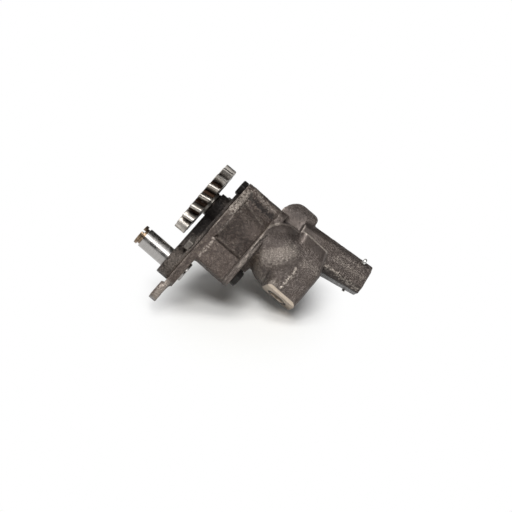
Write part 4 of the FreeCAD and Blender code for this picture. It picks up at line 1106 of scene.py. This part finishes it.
@dataclass
class DriveGear:
    """The helical drive gear with its web, hub and keyway."""

    teeth: int = 18
    normal_module: float = 4.2
    helix: float = math.radians(11.3)
    width: float = 12.5
    front: float = -39.4
    hub_end: float = -24.3
    rim_radius: float = 30.0
    hub_radius: float = 13.5
    bore_radius: float = 8.02
    recess: float = 2.2
    chamfer: float = 0.55
    key_width: float = 5.04
    key_top: float = 10.52
    thinning: float = 0.16
    mid_sections: int = 7
    flank_steps: int = 8
    turned: float = -math.radians(7.4)
    TIP_ROUND = 0.6
    LAND_INSET = 0.5
    ROOT_RISE = 1.2
    # Drops below the tip and widths beyond the land, and rises above the root and widths beyond the flank
    TIP_CORNER = ((0.28, 0.42), (0.09, 0.22), (0.0, 0.0))
    ROOT_FILLET = ((0.0, 1.1), (0.25, 0.6), (0.7, 0.22))

    def tooth_outline(self, inset: float) -> list[tuple[float, float]]:
        """One tooth and its gap as (radius, angle) pairs.

        Args:
            inset: how far the outline is drawn back into the metal, in millimetres.

        Returns:
            The points of one pitch, in order of angle.
        """
        module = self.normal_module / math.cos(self.helix)
        pitch = self.teeth * module / 2
        pressure = math.atan(math.tan(math.radians(20)) / math.cos(self.helix))
        base = pitch * math.cos(pressure)
        tip = pitch + self.normal_module - inset
        root = pitch - self.normal_module * 1.25
        half_pitch_angle = math.pi / self.teeth
        half_at_pitch = math.pi / (2 * self.teeth) - self.thinning / (2 * pitch) - inset / pitch

        def half_angle(radius: float) -> float:
            """Half the tooth's angle at a radius."""
            opening = math.acos(min(1.0, base / radius))
            return half_at_pitch + math.tan(pressure) - pressure - (math.tan(opening) - opening)

        foot = max(base, root + self.ROOT_RISE)
        steps = self.flank_steps
        flank = [foot + (tip - self.TIP_ROUND - foot) * step / steps for step in range(steps + 1)]
        right = [(radius, half_angle(radius)) for radius in flank]
        land = half_angle(tip) - self.LAND_INSET / tip
        right += [(tip - drop, land + width / tip) for drop, width in self.TIP_CORNER]
        foot_angle = half_angle(foot)
        fillet = [(root, half_pitch_angle)]
        fillet += [(root + rise, foot_angle + width / root) for rise, width in self.ROOT_FILLET]
        rising = [(radius, -angle) for radius, angle in fillet + right]
        falling = [(radius, angle) for radius, angle in reversed(fillet[1:] + right)]
        return rising + [(tip, 0.0)] + falling

    def build(self) -> Piece:
        """Makes the gear.

        Returns:
            The finished piece.
        """
        back = self.front + self.width
        pitch = self.teeth * self.normal_module / math.cos(self.helix) / 2

        def ring(x: float, spots: list[tuple[float, float]]) -> list[Vector]:
            """The points of a ring in the plane at x, from pairs of radius and angle."""
            return [Vector((x, radius * math.cos(angle), SHAFT_RISE + radius * math.sin(angle)))
                    for radius, angle in spots]

        def toothed(x: float, inset: float) -> list[tuple[float, float]]:
            """The whole toothed outline at x, drawn back by the inset."""
            turn = self.turned - math.tan(self.helix) / pitch * (x - self.front)
            return [(radius, angle + turn + 2 * math.pi * tooth / self.teeth)
                    for tooth in range(self.teeth) for radius, angle in self.tooth_outline(inset)]

        angles = [angle for _, angle in toothed(self.front, 0.0)]

        def circle(x: float, radius: float) -> list[Vector]:
            """A round ring whose points face the teeth's points."""
            return ring(x, [(radius, angle) for angle in angles])

        # Depths below the gear's face and radii, from the hub over the recess to the foot of the teeth
        web = ((0.4, self.hub_radius), (self.recess - 0.5, self.hub_radius + 0.1),
               (self.recess, self.hub_radius + 0.8), (self.recess, self.rim_radius - 0.8),
               (self.recess - 0.5, self.rim_radius - 0.1), (0.4, self.rim_radius), (0.0, self.rim_radius + 0.4))
        inner = self.width - 2 * self.chamfer
        sections = [(self.front + self.chamfer + inner * step / self.mid_sections, 0.0)
                    for step in range(self.mid_sections + 1)]
        rings = [circle(self.hub_end, self.bore_radius), circle(self.front, self.bore_radius),
                 circle(self.front, self.hub_radius - 0.4)]
        rings += [circle(self.front + depth, radius) for depth, radius in web]
        rings += [ring(x, toothed(x, inset))
                  for x, inset in ((self.front, self.chamfer), *sections, (back, self.chamfer))]
        rings += [circle(back - depth, radius) for depth, radius in reversed(web[1:])]
        rings += [circle(self.hub_end - 0.5, self.hub_radius), circle(self.hub_end, self.hub_radius - 0.5)]
        loft = Loft()
        loft.add(rings, capped=False, looped=True)
        piece = link_piece("drive_gear_hobbed", mesh_of("drive_gear", loft.points, loft.faces))
        half = self.key_width / 2
        cut_away(piece, box_mesh("keyway", Vector((self.front - 1, -half, SHAFT_RISE + 2)),
                                 Vector((self.hub_end + 1, half, SHAFT_RISE + self.key_top))))
        mesh = piece.data
        coat(mesh, GEAR_STEEL, GEAR_FACE)
        for face in mesh.polygons:
            reach = math.hypot(face.center.y, face.center.z - SHAFT_RISE * MM)
            face.material_index = 1 if abs(face.normal.x) > 0.9 or reach < (self.rim_radius + 1) * MM else 0
        smooth_with_edges(mesh, 25)
        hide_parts("drive_gear")
        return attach(piece, Body.DRIVE_ROTOR.value)


@dataclass
class HexBolts:
    """Hexagon head bolts of one finish, each with a washer face and a plain shank."""

    name: str
    node: str
    slot: str
    finish: Finish
    seats: tuple[Point, ...]
    head_way: int
    shank: float
    flats: float = 16.0
    head: float = 6.4
    radius: float = 5.0
    bevel: float = 0.25
    washer_face: float = 0.4
    shank_chamfer: float = 0.8
    # Radii of the crown and of the washer face as shares of the flats, and that of the point that ends a bolt
    CROWN_SHARE = 0.47
    WASHER_SHARE = 0.465
    POINT = 0.01
    steps: int = 96

    def rings(self, seat: Point) -> list[list[Vector]]:
        """One bolt as rings, from the end of its shank to the top of its head.

        Args:
            seat: middle of the face that the head rests on.

        Returns:
            The points of each ring.
        """
        crown = self.flats * self.CROWN_SHARE
        slope = math.tan(math.radians(30))
        turns = [(2 * math.pi * step / self.steps) % (math.pi / 3) - math.pi / 6 for step in range(self.steps)]
        hexagon = np.array([min(self.flats / 2 / math.cos(local), self.flats / math.sqrt(3) - self.bevel)
                            for local in turns])
        edge = self.head - np.maximum(0.0, hexagon - crown) * slope
        # Heights from the seat towards the head, and radii
        outline = (
            (-self.shank, self.POINT), (-self.shank, self.radius - self.shank_chamfer),
            (-self.shank + self.shank_chamfer, self.radius), (-0.01, self.radius),
            (0.0, self.flats * self.WASHER_SHARE), (self.washer_face - 0.05, crown),
            (self.washer_face, hexagon - self.bevel),
            (self.washer_face + self.bevel, hexagon), (edge - self.bevel, hexagon),
            (edge, hexagon - self.bevel), (self.head, crown - 0.1), (self.head, self.POINT))
        even = np.ones(self.steps)
        return [[Vector((seat[0] + self.head_way * height, seat[1] + radius * cosine, seat[2] + radius * sine))
                 for height, radius, (cosine, sine) in zip(even * heights, even * radii, circle_steps(self.steps))]
                for heights, radii in outline]

    def build(self) -> Piece:
        """Makes the bolts as one piece.

        Returns:
            The finished piece.
        """
        loft = Loft()
        for seat in self.seats:
            loft.add(self.rings(seat))
        piece = link_piece(self.name, mesh_of(self.name, loft.points, loft.faces))
        coat(piece.data, self.finish)
        smooth_with_edges(piece.data, 24)
        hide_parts(self.node)
        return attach(piece, Body.HOUSING.value)


@dataclass
class CotterPin:
    """A split pin folded from half-round wire, with an eye at one end and bent prongs at the other."""

    inset: float = 12.0
    radius: float = 1.85
    reach: float = 19.9
    eye: float = 2.7
    prong: float = 4.2
    outer_bulge: float = 0.52
    inner_bulge: float = 0.42
    wire_width: float = 0.92
    sides: int = 12

    def route(self, side: int) -> list[Vector]:
        """The middle line of one leg, from its prong to the top of the eye.

        Args:
            side: 1 or -1 for either leg.

        Returns:
            Points in the pin's own frame, with Z along the pin and Y from leg to leg.
        """
        half = self.radius * 0.5
        line = [Vector((0, side * (half + self.prong * share * 0.85), self.reach + self.prong * share * 0.5 - 0.2))
                for share in (1.0, 0.66, 0.33, 0.12)]
        line += [Vector((0, side * half, self.reach - 1.0 - step * (2 * self.reach - 2) / 6)) for step in range(7)]
        for step in range(1, 9):
            angle = math.pi * step / 8
            line.append(Vector((0, side * (half * (1 - step / 8) + self.eye * math.sin(angle) * 0.8),
                                -self.reach + 0.6 - self.eye * (1 - math.cos(angle)))))
        return line

    def build(self) -> Piece:
        """Folds the pin and lays it across the barrel.

        Returns:
            The finished piece.
        """
        along = Axis.VALVE.value
        middle = BARREL_END - along * self.inset
        upright = Axis.ACROSS.value.cross(along).normalized() * -1
        pin_axis = (upright - Axis.ACROSS.value).normalized()
        leg_axis = along.cross(pin_axis)
        thick = Vector((1, 0, 0))
        loft = Loft()
        for side in (-1, 1):
            line = self.route(side)
            rings = []
            for index, spot in enumerate(line):
                ahead = (line[min(index + 1, len(line) - 1)] - line[max(index - 1, 0)]).normalized()
                out = thick.cross(ahead)
                ring = []
                for cosine, sine in circle_steps(self.sides):
                    bulge = self.outer_bulge if sine * side > 0 else self.inner_bulge
                    place = spot + (thick * cosine * self.wire_width + out * sine * bulge) * self.radius
                    ring.append(middle + along * place.x + leg_axis * place.y + pin_axis * -place.z)
                rings.append(ring)
            loft.add(rings)
        piece = link_piece("relief_cotter_pin_wire", mesh_of("cotter_pin", loft.points, loft.faces))
        coat(piece.data, BRIGHT_ZINC)
        smooth_with_edges(piece.data, 50)
        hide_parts("relief_cotter_pin")
        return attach(piece, Body.HOUSING.value)


@dataclass
class ReliefSpring:
    """The coil spring behind the relief plunger, with closed and ground ends."""

    depth_start: float = 60.8
    depth_end: float = 18.4
    wire: float = 1.3
    radius: float = 6.6
    turns: int = 8
    travel: float = 9.0
    closed_pitch: float = 2.05
    sides: int = 12
    steps_per_turn: int = 36

    def build(self) -> Piece:
        """Coils the spring and puts it on the housing.

        Returns:
            The finished piece.
        """
        along = Axis.VALVE.value
        across = Axis.ACROSS.value
        upright = along.cross(across)
        start = BARREL_END - along * self.depth_start
        length = self.depth_start - self.depth_end
        # The first and last turn lie against their neighbours, and half the wire there is ground away
        closed = self.closed_pitch * self.wire
        heights = np.interp(np.linspace(0, self.turns, self.turns * self.steps_per_turn + 1),
                            (0, 1, self.turns - 1, self.turns),
                            (self.wire / 2, closed + self.wire / 2, length - closed - self.wire / 2,
                             length - self.wire / 2))
        rings = []
        for step, height in enumerate(heights):
            angle = 2 * math.pi * step / self.steps_per_turn
            out = across * math.cos(angle) + upright * math.sin(angle)
            rings.append([start + along * min(max(height + self.wire * sine, 0.0), length)
                          + out * (self.radius + self.wire * cosine) for cosine, sine in circle_steps(self.sides)])
        loft = Loft()
        loft.add(rings)
        piece = link_piece("relief_spring_coil", mesh_of("relief_spring_coil", loft.points, loft.faces))
        coat(piece.data, SPRING_STEEL)
        smooth_with_edges(piece.data)
        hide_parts("relief_spring")
        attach(piece, Body.HOUSING.value)
        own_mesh(piece)
        return piece


@dataclass
class RetainedNodes:
    """The nodes of the frame that keep their own shape and take a better finish."""

    finishes: dict[str, Finish | GroundSteel]

    def build(self) -> list[str]:
        """Gives each node its finish.

        Returns:
            The names of the nodes dressed.
        """
        made: dict[str, Material] = {}
        for name, finish in self.finishes.items():
            if finish.name not in made:
                made[finish.name] = finish.material()
            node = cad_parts[name]
            for slot in node.material_slots:
                slot.material = made[finish.name]
        return sorted(self.finishes)


# Studio


@dataclass
class Studio:
    """The camera, the lamps, the dark cards and the pale floor."""

    below: float = math.radians(11)
    aside: float = math.radians(2)
    roll: float = math.radians(41)
    centre: Point = (46.0, 0.0, 62.1)
    distance: float = 1155.0
    focal_pixels: float = 1100.0
    image_pixels: float = 512.0
    sensor: float = 36.0
    floor_normal: Point = (-0.56, -0.53, 0.637)
    floor_size: float = 3000.0
    floor_gap: float = 0.1
    fade_shape: Point = (1.3, 0.85, 1.0)
    fade_shift: float = -14.0
    fade_start: float = 0.065
    fade_end: float = 0.15

    def axes(self) -> tuple[Vector, Vector, Vector]:
        """The picture's axes in the frame.

        Returns:
            Right, up and towards the camera.
        """
        toward = Vector((-math.sin(self.aside) * math.cos(self.below),
                         -math.cos(self.aside) * math.cos(self.below), -math.sin(self.below)))
        level = (Vector((1, 0, 0)) - toward * toward.x).normalized()
        upright = toward.cross(level)
        right = level * math.cos(self.roll) + upright * math.sin(self.roll)
        up = upright * math.cos(self.roll) - level * math.sin(self.roll)
        return right, up, toward

    def place(self, right_mm: float, up_mm: float, toward_mm: float) -> Vector:
        """A point given along the picture's axes, in metres."""
        right, up, toward = self.axes()
        return (Vector(self.centre) + right * right_mm + up * up_mm + toward * toward_mm) * MM

    def facing(self, spot: Point) -> Matrix:
        """A matrix at a place along the picture's axes, with its -Z axis towards the pump's middle."""
        way = self.place(0, 0, 0) - self.place(*spot)
        return Matrix.Translation(self.place(*spot)) @ way.to_track_quat("-Z", "Y").to_matrix().to_4x4()

    def add_camera(self) -> None:
        """Sets up the camera at the photograph's angle."""
        right, up, toward = self.axes()
        data = bpy.data.cameras.new("photo_camera")
        data.sensor_width = self.sensor
        data.lens = self.sensor * self.focal_pixels / self.image_pixels
        data.clip_start = 0.01
        data.clip_end = 20
        camera = bpy.data.objects.new("photo_camera", data)
        turn = Matrix((right, up, toward)).transposed().to_4x4()
        camera.matrix_world = Matrix.Translation(self.place(0, 0, self.distance)) @ turn
        bpy.context.scene.collection.objects.link(camera)
        bpy.context.scene.camera = camera

    def add_lamp(self, name: str, spot: Point, size: tuple[float, float],
                 watts: float) -> None:
        """Adds a soft box.

        Args:
            name: the lamp's name.
            spot: its place along the picture's axes, in millimetres.
            size: its width and height in millimetres.
            watts: its power.
        """
        data = bpy.data.lights.new(name, "AREA")
        data.shape = "RECTANGLE"
        data.size = size[0] * MM
        data.size_y = size[1] * MM
        data.energy = watts
        lamp = bpy.data.objects.new(name, data)
        lamp.matrix_world = self.facing(spot)
        lamp.visible_camera = False
        bpy.context.scene.collection.objects.link(lamp)

    def add_card(self, name: str, spot: Point, size: tuple[float, float]) -> None:
        """Adds a dark card that only shiny metal sees.

        Args:
            name: the card's name.
            spot: its place along the picture's axes, in millimetres.
            size: its width and height in millimetres.
        """
        mesh = sheet_mesh(name, *size)
        material, tree = new_material("black_card")
        shader = add_node(tree, "BsdfDiffuse", {"Color": linear("1a1918")})
        add_node(tree, "OutputMaterial", {"Surface": shader.outputs[0]})
        mesh.materials.append(material)
        card = link_piece(name, mesh)
        card.matrix_world = self.facing(spot)
        card.visible_camera = False
        card.visible_diffuse = False
        card.visible_shadow = False

    def sees_backdrop(self, tree: Tree) -> Socket:
        """Tells the camera, shiny metal and clear parts from soft light.

        Args:
            tree: the node tree that asks.

        Returns:
            A socket that is 1 for a camera, glossy or transmission ray.
        """
        path = add_node(tree, "LightPath")
        return chained(tree, "Math", path.outputs["Is Camera Ray"], ("MAXIMUM", path.outputs["Is Glossy Ray"]),
                       ("MAXIMUM", path.outputs["Is Transmission Ray"]))

    def add_floor(self) -> None:
        """Lays the pale floor under the pump's lowest points, fading to white away from it."""
        normal = Vector(self.floor_normal).normalized()
        lowest = 1e9
        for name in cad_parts:
            coordinates = np.empty(len(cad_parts[name].data.vertices) * 3)
            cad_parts[name].data.vertices.foreach_get("co", coordinates)
            lowest = min(lowest, float((coordinates.reshape(-1, 3) @ np.array(normal)).min()))
        foot = self.place(self.fade_shift, 0, 0)
        foot += normal * (lowest - foot.dot(normal) - self.floor_gap * MM)
        mesh = sheet_mesh("floor", self.floor_size, self.floor_size)
        material, tree = new_material("pale_paper_sweep")
        place = chained(tree, "VectorMath", add_node(tree, "TexCoord").outputs["Object"],
                        ("MULTIPLY", self.fade_shape))
        away = add_node(tree, "VectorMath", {0: place}, operation="LENGTH").outputs["Value"]
        fade = add_node(tree, "MapRange", {"Value": away, "From Min": self.fade_start, "From Max": self.fade_end},
                        interpolation_type="SMOOTHSTEP").outputs[0]
        direct = chained(tree, "Math", fade, ("MULTIPLY", self.sees_backdrop(tree)))
        paper = add_node(tree, "BsdfDiffuse", {"Color": linear("f4f4f2")})
        white = add_node(tree, "Emission", {"Color": (1, 1, 1, 1), "Strength": 1.0})
        both = add_node(tree, "MixShader", {0: direct, 1: paper.outputs[0], 2: white.outputs[0]})
        add_node(tree, "OutputMaterial", {"Surface": both.outputs[0]})
        mesh.materials.append(material)
        floor = link_piece("floor", mesh)
        right = self.axes()[0]
        along = (right - normal * right.dot(normal)).normalized()
        turn = Matrix((along, normal.cross(along), normal)).transposed().to_4x4()
        floor.matrix_world = Matrix.Translation(foot) @ turn

    def add_world(self) -> None:
        """Makes the surroundings: white to the camera and to shiny metal, a soft grey to the rest."""
        world = bpy.data.worlds.new("studio")
        world.use_nodes = True
        tree = world.node_tree
        tree.nodes.clear()
        soft = add_node(tree, "Background", {"Color": linear("ffffff"), "Strength": 0.17})
        white = add_node(tree, "Background", {"Color": (1, 1, 1, 1), "Strength": 1.0})
        both = add_node(tree, "MixShader", {0: self.sees_backdrop(tree), 1: soft.outputs[0], 2: white.outputs[0]})
        add_node(tree, "OutputWorld", {"Surface": both.outputs[0]})
        bpy.context.scene.world = world

    def build(self) -> None:
        """Sets up the whole studio."""
        self.add_camera()
        self.add_world()
        self.add_floor()
        self.add_lamp("overhead_box", (0, 830, 350), (520, 420), 3.4)
        self.add_lamp("key_box", (30, 470, 770), (560, 300), 4.9)
        self.add_lamp("left_box", (-760, 120, 460), (500, 500), 1.6)
        self.add_card("behind_card", (230, 640, -200), (1500, 800))
        self.add_card("right_card", (700, 380, 420), (620, 700))
        self.add_card("camera_card", (0, -150, 950), (1200, 700))
        bpy.context.scene.view_settings.view_transform = "Standard"


BODY_FACINGS = (
    Facing((-1, 0, 0), 8.5),
    Facing((1, 0, 0), 0.0),
    Facing((1, 0, 0), REAR_JOINT),
)
BODY_BORES = (
    Bore((-8.5, 0, 0), Axis.SHAFT, 11.52, 8.5),
    Bore((-8.5, 0, SHAFT_RISE), Axis.SHAFT, 10.22, 43.5),
    Bore((-8.5, 0, SHAFT_RISE + 34.3), Axis.SHAFT, 5.3, 43.5),
    Bore((-8.5, 0, -33.0), Axis.SHAFT, 5.5, 8.6),
    Bore((-8.5, 75.0, SHAFT_RISE - 2.0), Axis.SHAFT, 5.5, 8.5),
)
COVER_FACINGS = (
    Facing((-1, 0, 0), 22.6),
    Facing((-1, 0, 0), 12.0),
    Facing((1, 0, 0), -8.5),
)
COVER_BORES = (
    Bore((-22.6, 0, 0), Axis.SHAFT, 11.52, 14.1),
    Bore((-22.6, 0, SHAFT_RISE), Axis.SHAFT, 10.22, 14.1),
)
HOUSING_FACINGS = (
    Facing((-1, 0, 0), -REAR_JOINT - 0.5),
    Facing((1, 0, 0), REAR_JOINT + 7.0),
    Facing((0, 0, -1), -41.5),
    Facing((0, 1, 0), 44.0),
)
HOUSING_BORES = (
    Bore((90.4, -8.0, 41.5), Axis.UPRIGHT, 8.0, 31.2),
    Bore((53.8, 16.25, 121.0), Axis.ACROSS, 12.0, 28.0),
    Bore((87.6, 20.0, 112.2), Axis.VALVE, 11.0, 66.0),
    Bore((REAR_JOINT + 0.5, 0, SHAFT_RISE + 34.3), Axis.SHAFT, 5.02, 8.6),
)

# Marks that the photograph shows on the near side, as X and Z in millimetres
# Many of these marks are painted light, as noted at each
BODY_TRACES = (
    # Painted highlight on the square boss's left edge
    Trace(Look.PALE, ((1.3, 18.5), (1.4, 30.0), (1.3, 43.0)), 1.1, 0.7, 0.15, 1.3),
    Trace(Look.PALE, ((0.2, 41.5), (1.8, 44.6)), 1.2, 0.8, 0.2, 1.0),
    # Painted shade in the crease along the boss's top edge
    Trace(Look.DARK, ((5.0, 43.7), (20.0, 43.2), (33.0, 42.8)), 0.8, 0.6, -0.3, 0.5),
    # Painted light on the ledge above the boss
    Trace(Look.PALE, ((4.0, 46.8), (33.0, 46.2)), 2.0, 0.2, 0.3, 0.6),
    # Painted shade on the chamber's wall
    Trace(Look.DARK, ((5.0, 52.0), (4.0, 66.0), (9.0, 74.0), (18.0, 66.0), (27.0, 54.0)), 8.0, 0.5, 0.0, 1.4),
    # Painted light on the plate's upper strip, which faces the light
    Trace(Look.PALE, ((-4.4, 79.0), (-3.0, 90.0), (-2.6, 104.0)), 5.2, 0.9, 0.0, 1.2),
    Trace(Look.DARK, ((-5.0, 48.0), (-5.0, 66.0)), 3.8, 0.25, 0.0, 0.6),
    # Painted highlights on the bolt column
    Trace(Look.PALE, ((1.5, 114.0), (8.0, 112.0), (15.0, 109.5)), 3.0, 0.45, 0.2, 1.4),
    Trace(Look.PALE, ((16.0, 109.0), (30.0, 109.5)), 2.4, 0.35, 0.1, 1.4),
    # Painted light on the ridge between the chamber and the valley
    Trace(Look.PALE, ((1.7, 95.0), (14.0, 92.0), (27.0, 89.5)), 2.4, 0.3, 0.2, 0.9),
    # Painted shade in the valley below the bolt column
    Trace(Look.DARK, ((2.5, 104.0), (18.0, 102.9), (32.0, 102.4)), 3.8, 1.0, -0.2, 1.0),
    # Painted highlight along the plate's front edge
    Trace(Look.PALE, ((-7.6, 50.0), (-7.7, 104.0)), 0.5, 0.45, 0.0, 0.3),
    # Painted light on the foot
    Trace(Look.PALE, ((-4.5, -40.0), (-4.5, -24.0)), 6.0, 0.42, 0.0, 0.2),
    Trace(Look.CALM, ((-4.5, -42.0), (-4.5, -22.0)), 7.0, 0.8, 0.0, 0.2),
)
COVER_TRACES = (
    # Painted light on the lower cover, out of the gear's shadow
    Trace(Look.PALE, ((-15.0, -16.0), (-15.0, 0.0), (-12.0, 16.0), (-10.5, 32.0)), 9.0, 0.42, 0.0, 0.5),
    # Painted shade from the gear over the upper nose
    Trace(Look.DARK, ((-18.0, 40.0), (-18.0, 74.0), (-19.0, 100.0)), 9.0, 0.6, 0.0, 0.8),
    Trace(Look.PALE, ((-12.0, 79.0), (-16.0, 83.0)), 3.6, 0.5, 0.0, 1.6),
)
HOUSING_TRACES = (
    # Raised parting ridge on the neck, with a painted highlight along it
    Trace(Look.PALE, ((84.6, 72.8), (86.2, 66.0), (85.0, 58.0), (85.6, 47.6)), 1.3, 0.8, 0.55, 1.2),
    # Painted highlight on the flange's edge
    Trace(Look.PALE, ((36.0, 60.0), (36.2, 70.0), (36.0, 79.0)), 0.9, 0.8, 0.1, 0.8),
    # Flange edge, worn and with a painted highlight
    Trace(Look.PALE, ((35.5, 89.0), (38.0, 96.0), (42.3, 102.0)), 1.7, 0.9, 0.1, 0.4),
    # Painted highlight on the dome's top rim
    Trace(Look.PALE, ((42.3, 102.5), (51.7, 107.5), (63.4, 108.0)), 0.8, 0.7, 0.1, 0.3),
    Trace(Look.DARK, ((45.5, 110.5), (50.0, 112.5)), 1.2, 1.0, -0.3, 0.2),
    # Painted shade along the dome's left outline
    Trace(Look.DARK, ((40.2, 82.0), (38.2, 70.0), (38.4, 60.0), (41.0, 49.0), (46.0, 41.0)), 1.1, 0.75, -0.3, 0.3),
    # Painted shade in the crease between the dome and the elbow
    Trace(Look.DARK, ((62.4, 101.4), (65.0, 94.0), (66.0, 87.8)), 2.6, 0.35, -0.5, 0.5),
    Trace(Look.CALM, ((68.0, 108.0), (80.0, 105.0), (93.0, 105.0), (100.0, 101.0)), 9.0, 1.0, 0.0, 0.4),
    Trace(Look.CALM, ((44.0, 118.0), (60.0, 122.0), (75.0, 122.0), (84.0, 127.0)), 12.0, 0.9, 0.0, 0.3, 60.0),
    Trace(Look.CALM, ((50.0, 98.0), (58.0, 100.0)), 7.0, 0.6, 0.0, 0.4),
    # Painted highlight along the top edge of the elbow's facet
    Trace(Look.PALE, ((65.5, 110.0), (83.5, 109.7), (100.5, 108.8)), 0.9, 0.7, 0.0, 0.2),
    # Painted highlight on a short ridge edge above the dome
    Trace(Look.PALE, ((66.5, 111.6), (64.5, 120.9)), 0.9, 0.3, 0.0, 0.3, 40.0),
    # Painted shade in the groove between the dome and the neck
    Trace(Look.DARK, ((66.0, 54.0), (68.5, 45.0), (69.5, 40.5)), 1.3, 0.6, -0.5, 0.4),
    Trace(Look.PALE, ((88.0, 84.0), (98.0, 86.0), (104.0, 84.0)), 5.0, 0.2, 0.0, 0.9),
    # Painted highlight along the barrel's lower edge
    Trace(Look.PALE, ((109.0, 104.0), (135.8, 106.3), (151.0, 108.6)), 1.7, 0.9, 0.1, 1.2, 60.0),
    # Painted highlight on the dome
    Trace(Look.PALE, ((54.0, 63.0), (63.0, 72.0), (69.0, 84.0)), 10.0, 0.33, 0.0, 0.4),
    # Painted light on the dome's lower left lobe
    Trace(Look.PALE, ((50.5, 53.0), (56.0, 46.0), (65.0, 42.5), (72.0, 46.0)), 5.0, 0.35, 0.0, 0.8),
    # Painted shade on the dome's upper side
    Trace(Look.DARK, ((48.0, 92.0), (58.0, 96.0), (63.0, 101.0)), 7.0, 0.2, 0.0, 0.4),
    # Painted shade on the top of the inlet boss
    Trace(Look.DARK, ((44.0, 130.0), (62.0, 131.0), (66.0, 124.0)), 12.0, 0.45, 0.0, 0.3, 60.0),
    Trace(Look.PALE, ((39.0, 38.0), (38.8, 60.0)), 3.2, 0.35, 0.0, 0.5),
    # Painted highlight along the barrel's upper ridge
    Trace(Look.PALE, ((114.0, 124.0), (139.1, 127.7)), 0.7, 0.3, 0.1, 1.0, 60.0),
    Trace(Look.PALE, ((112.0, 117.0), (148.0, 121.0)), 3.0, 0.2, 0.0, 1.0, 60.0),
)
COVER_SEAT_X = -11.0
GEAR_CENTRES = 32.5
FAR_OFFSET = 21.5


def main() -> None:
    """Builds every piece and the studio."""
    logging.basicConfig(level=logging.INFO, format="%(name)s: %(message)s")
    castings = [
        PumpBodyCasting("pump_body", "cast_body", BODY_IRON, CUT_IRON, BODY_FACINGS, BODY_BORES, BODY_TRACES,
                        fillet_passes=150, grit_mm=0.2, lump_mm=0.45),
        FrontCoverCasting("front_cover", "cover_iron", COVER_IRON, SHADED_NOSE_CUT, COVER_FACINGS, COVER_BORES,
                          COVER_TRACES, voxel_mm=0.7, fillet_passes=40),
        RearHousingCasting("rear_housing", "cast_housing", HOUSING_IRON, CUT_IRON, HOUSING_FACINGS, HOUSING_BORES,
                           HOUSING_TRACES, fillet_passes=45, edge_wear_and_highlight=0.25),
    ]
    for casting in castings:
        piece = casting.build()
        LOG.info("%s: %d points", piece.name, len(piece.data.vertices))
    far = GEAR_CENTRES + FAR_OFFSET
    steel = [
        IdlerShaft(),
        DriveGear(),
        HexBolts("cover_bolts_hex", "cover_bolts", "zinc_bolt", DULL_ZINC, (
            (COVER_SEAT_X, -17.0, SHAFT_RISE - 49.3), (COVER_SEAT_X, 17.0, SHAFT_RISE - 36.5),
            (COVER_SEAT_X, far, SHAFT_RISE - FAR_OFFSET), (COVER_SEAT_X, far, SHAFT_RISE + FAR_OFFSET)),
            head_way=-1, shank=16.5),
        HexBolts("through_bolt_hex", "through_bolt", "black_bolt", BLACK_OXIDE,
                 ((-8.5, 0.0, SHAFT_RISE + 34.3),), head_way=-1, shank=52.6),
        HexBolts("rear_bolts_hex", "rear_bolts", "black_bolt", BLACK_OXIDE, (
            (REAR_JOINT + 7.0, -17.0, SHAFT_RISE - 44.7), (REAR_JOINT + 7.0, far, SHAFT_RISE - FAR_OFFSET),
            (REAR_JOINT + 7.0, far, SHAFT_RISE + FAR_OFFSET)), head_way=1, shank=21.0),
        CotterPin(),
        ReliefSpring(),
    ]
    for maker in steel:
        piece = maker.build()
        LOG.info("%s: %d faces", piece.name, len(piece.data.polygons))
    kept = RetainedNodes({
        "rear_gasket": GASKET_FIBRE, "outlet_seal": SEAL_RUBBER, "driven_spindle": PIN_STEEL,
        "front_shaft_bush": BRONZE, "rear_shaft_bush": BRONZE, "thrust_washer": WASHER_STEEL,
        "driven_gear_bush": BRONZE,
        "cover_dowels": PIN_STEEL, "housing_dowels": PIN_STEEL, "relief_spring_seat": PIN_STEEL,
        "drive_shaft": PIN_STEEL, "drive_gear_key": PIN_STEEL,
        "pump_drive_gear": PUMP_GEAR_STEEL, "pump_gear_key": PIN_STEEL, "pump_driven_gear": PUMP_GEAR_STEEL,
        "relief_plunger": JOURNAL_STEEL,
    })
    LOG.info("kept nodes dressed: %s", ", ".join(kept.build()))
    Studio().build()


if __name__ == "__main__":
    main()
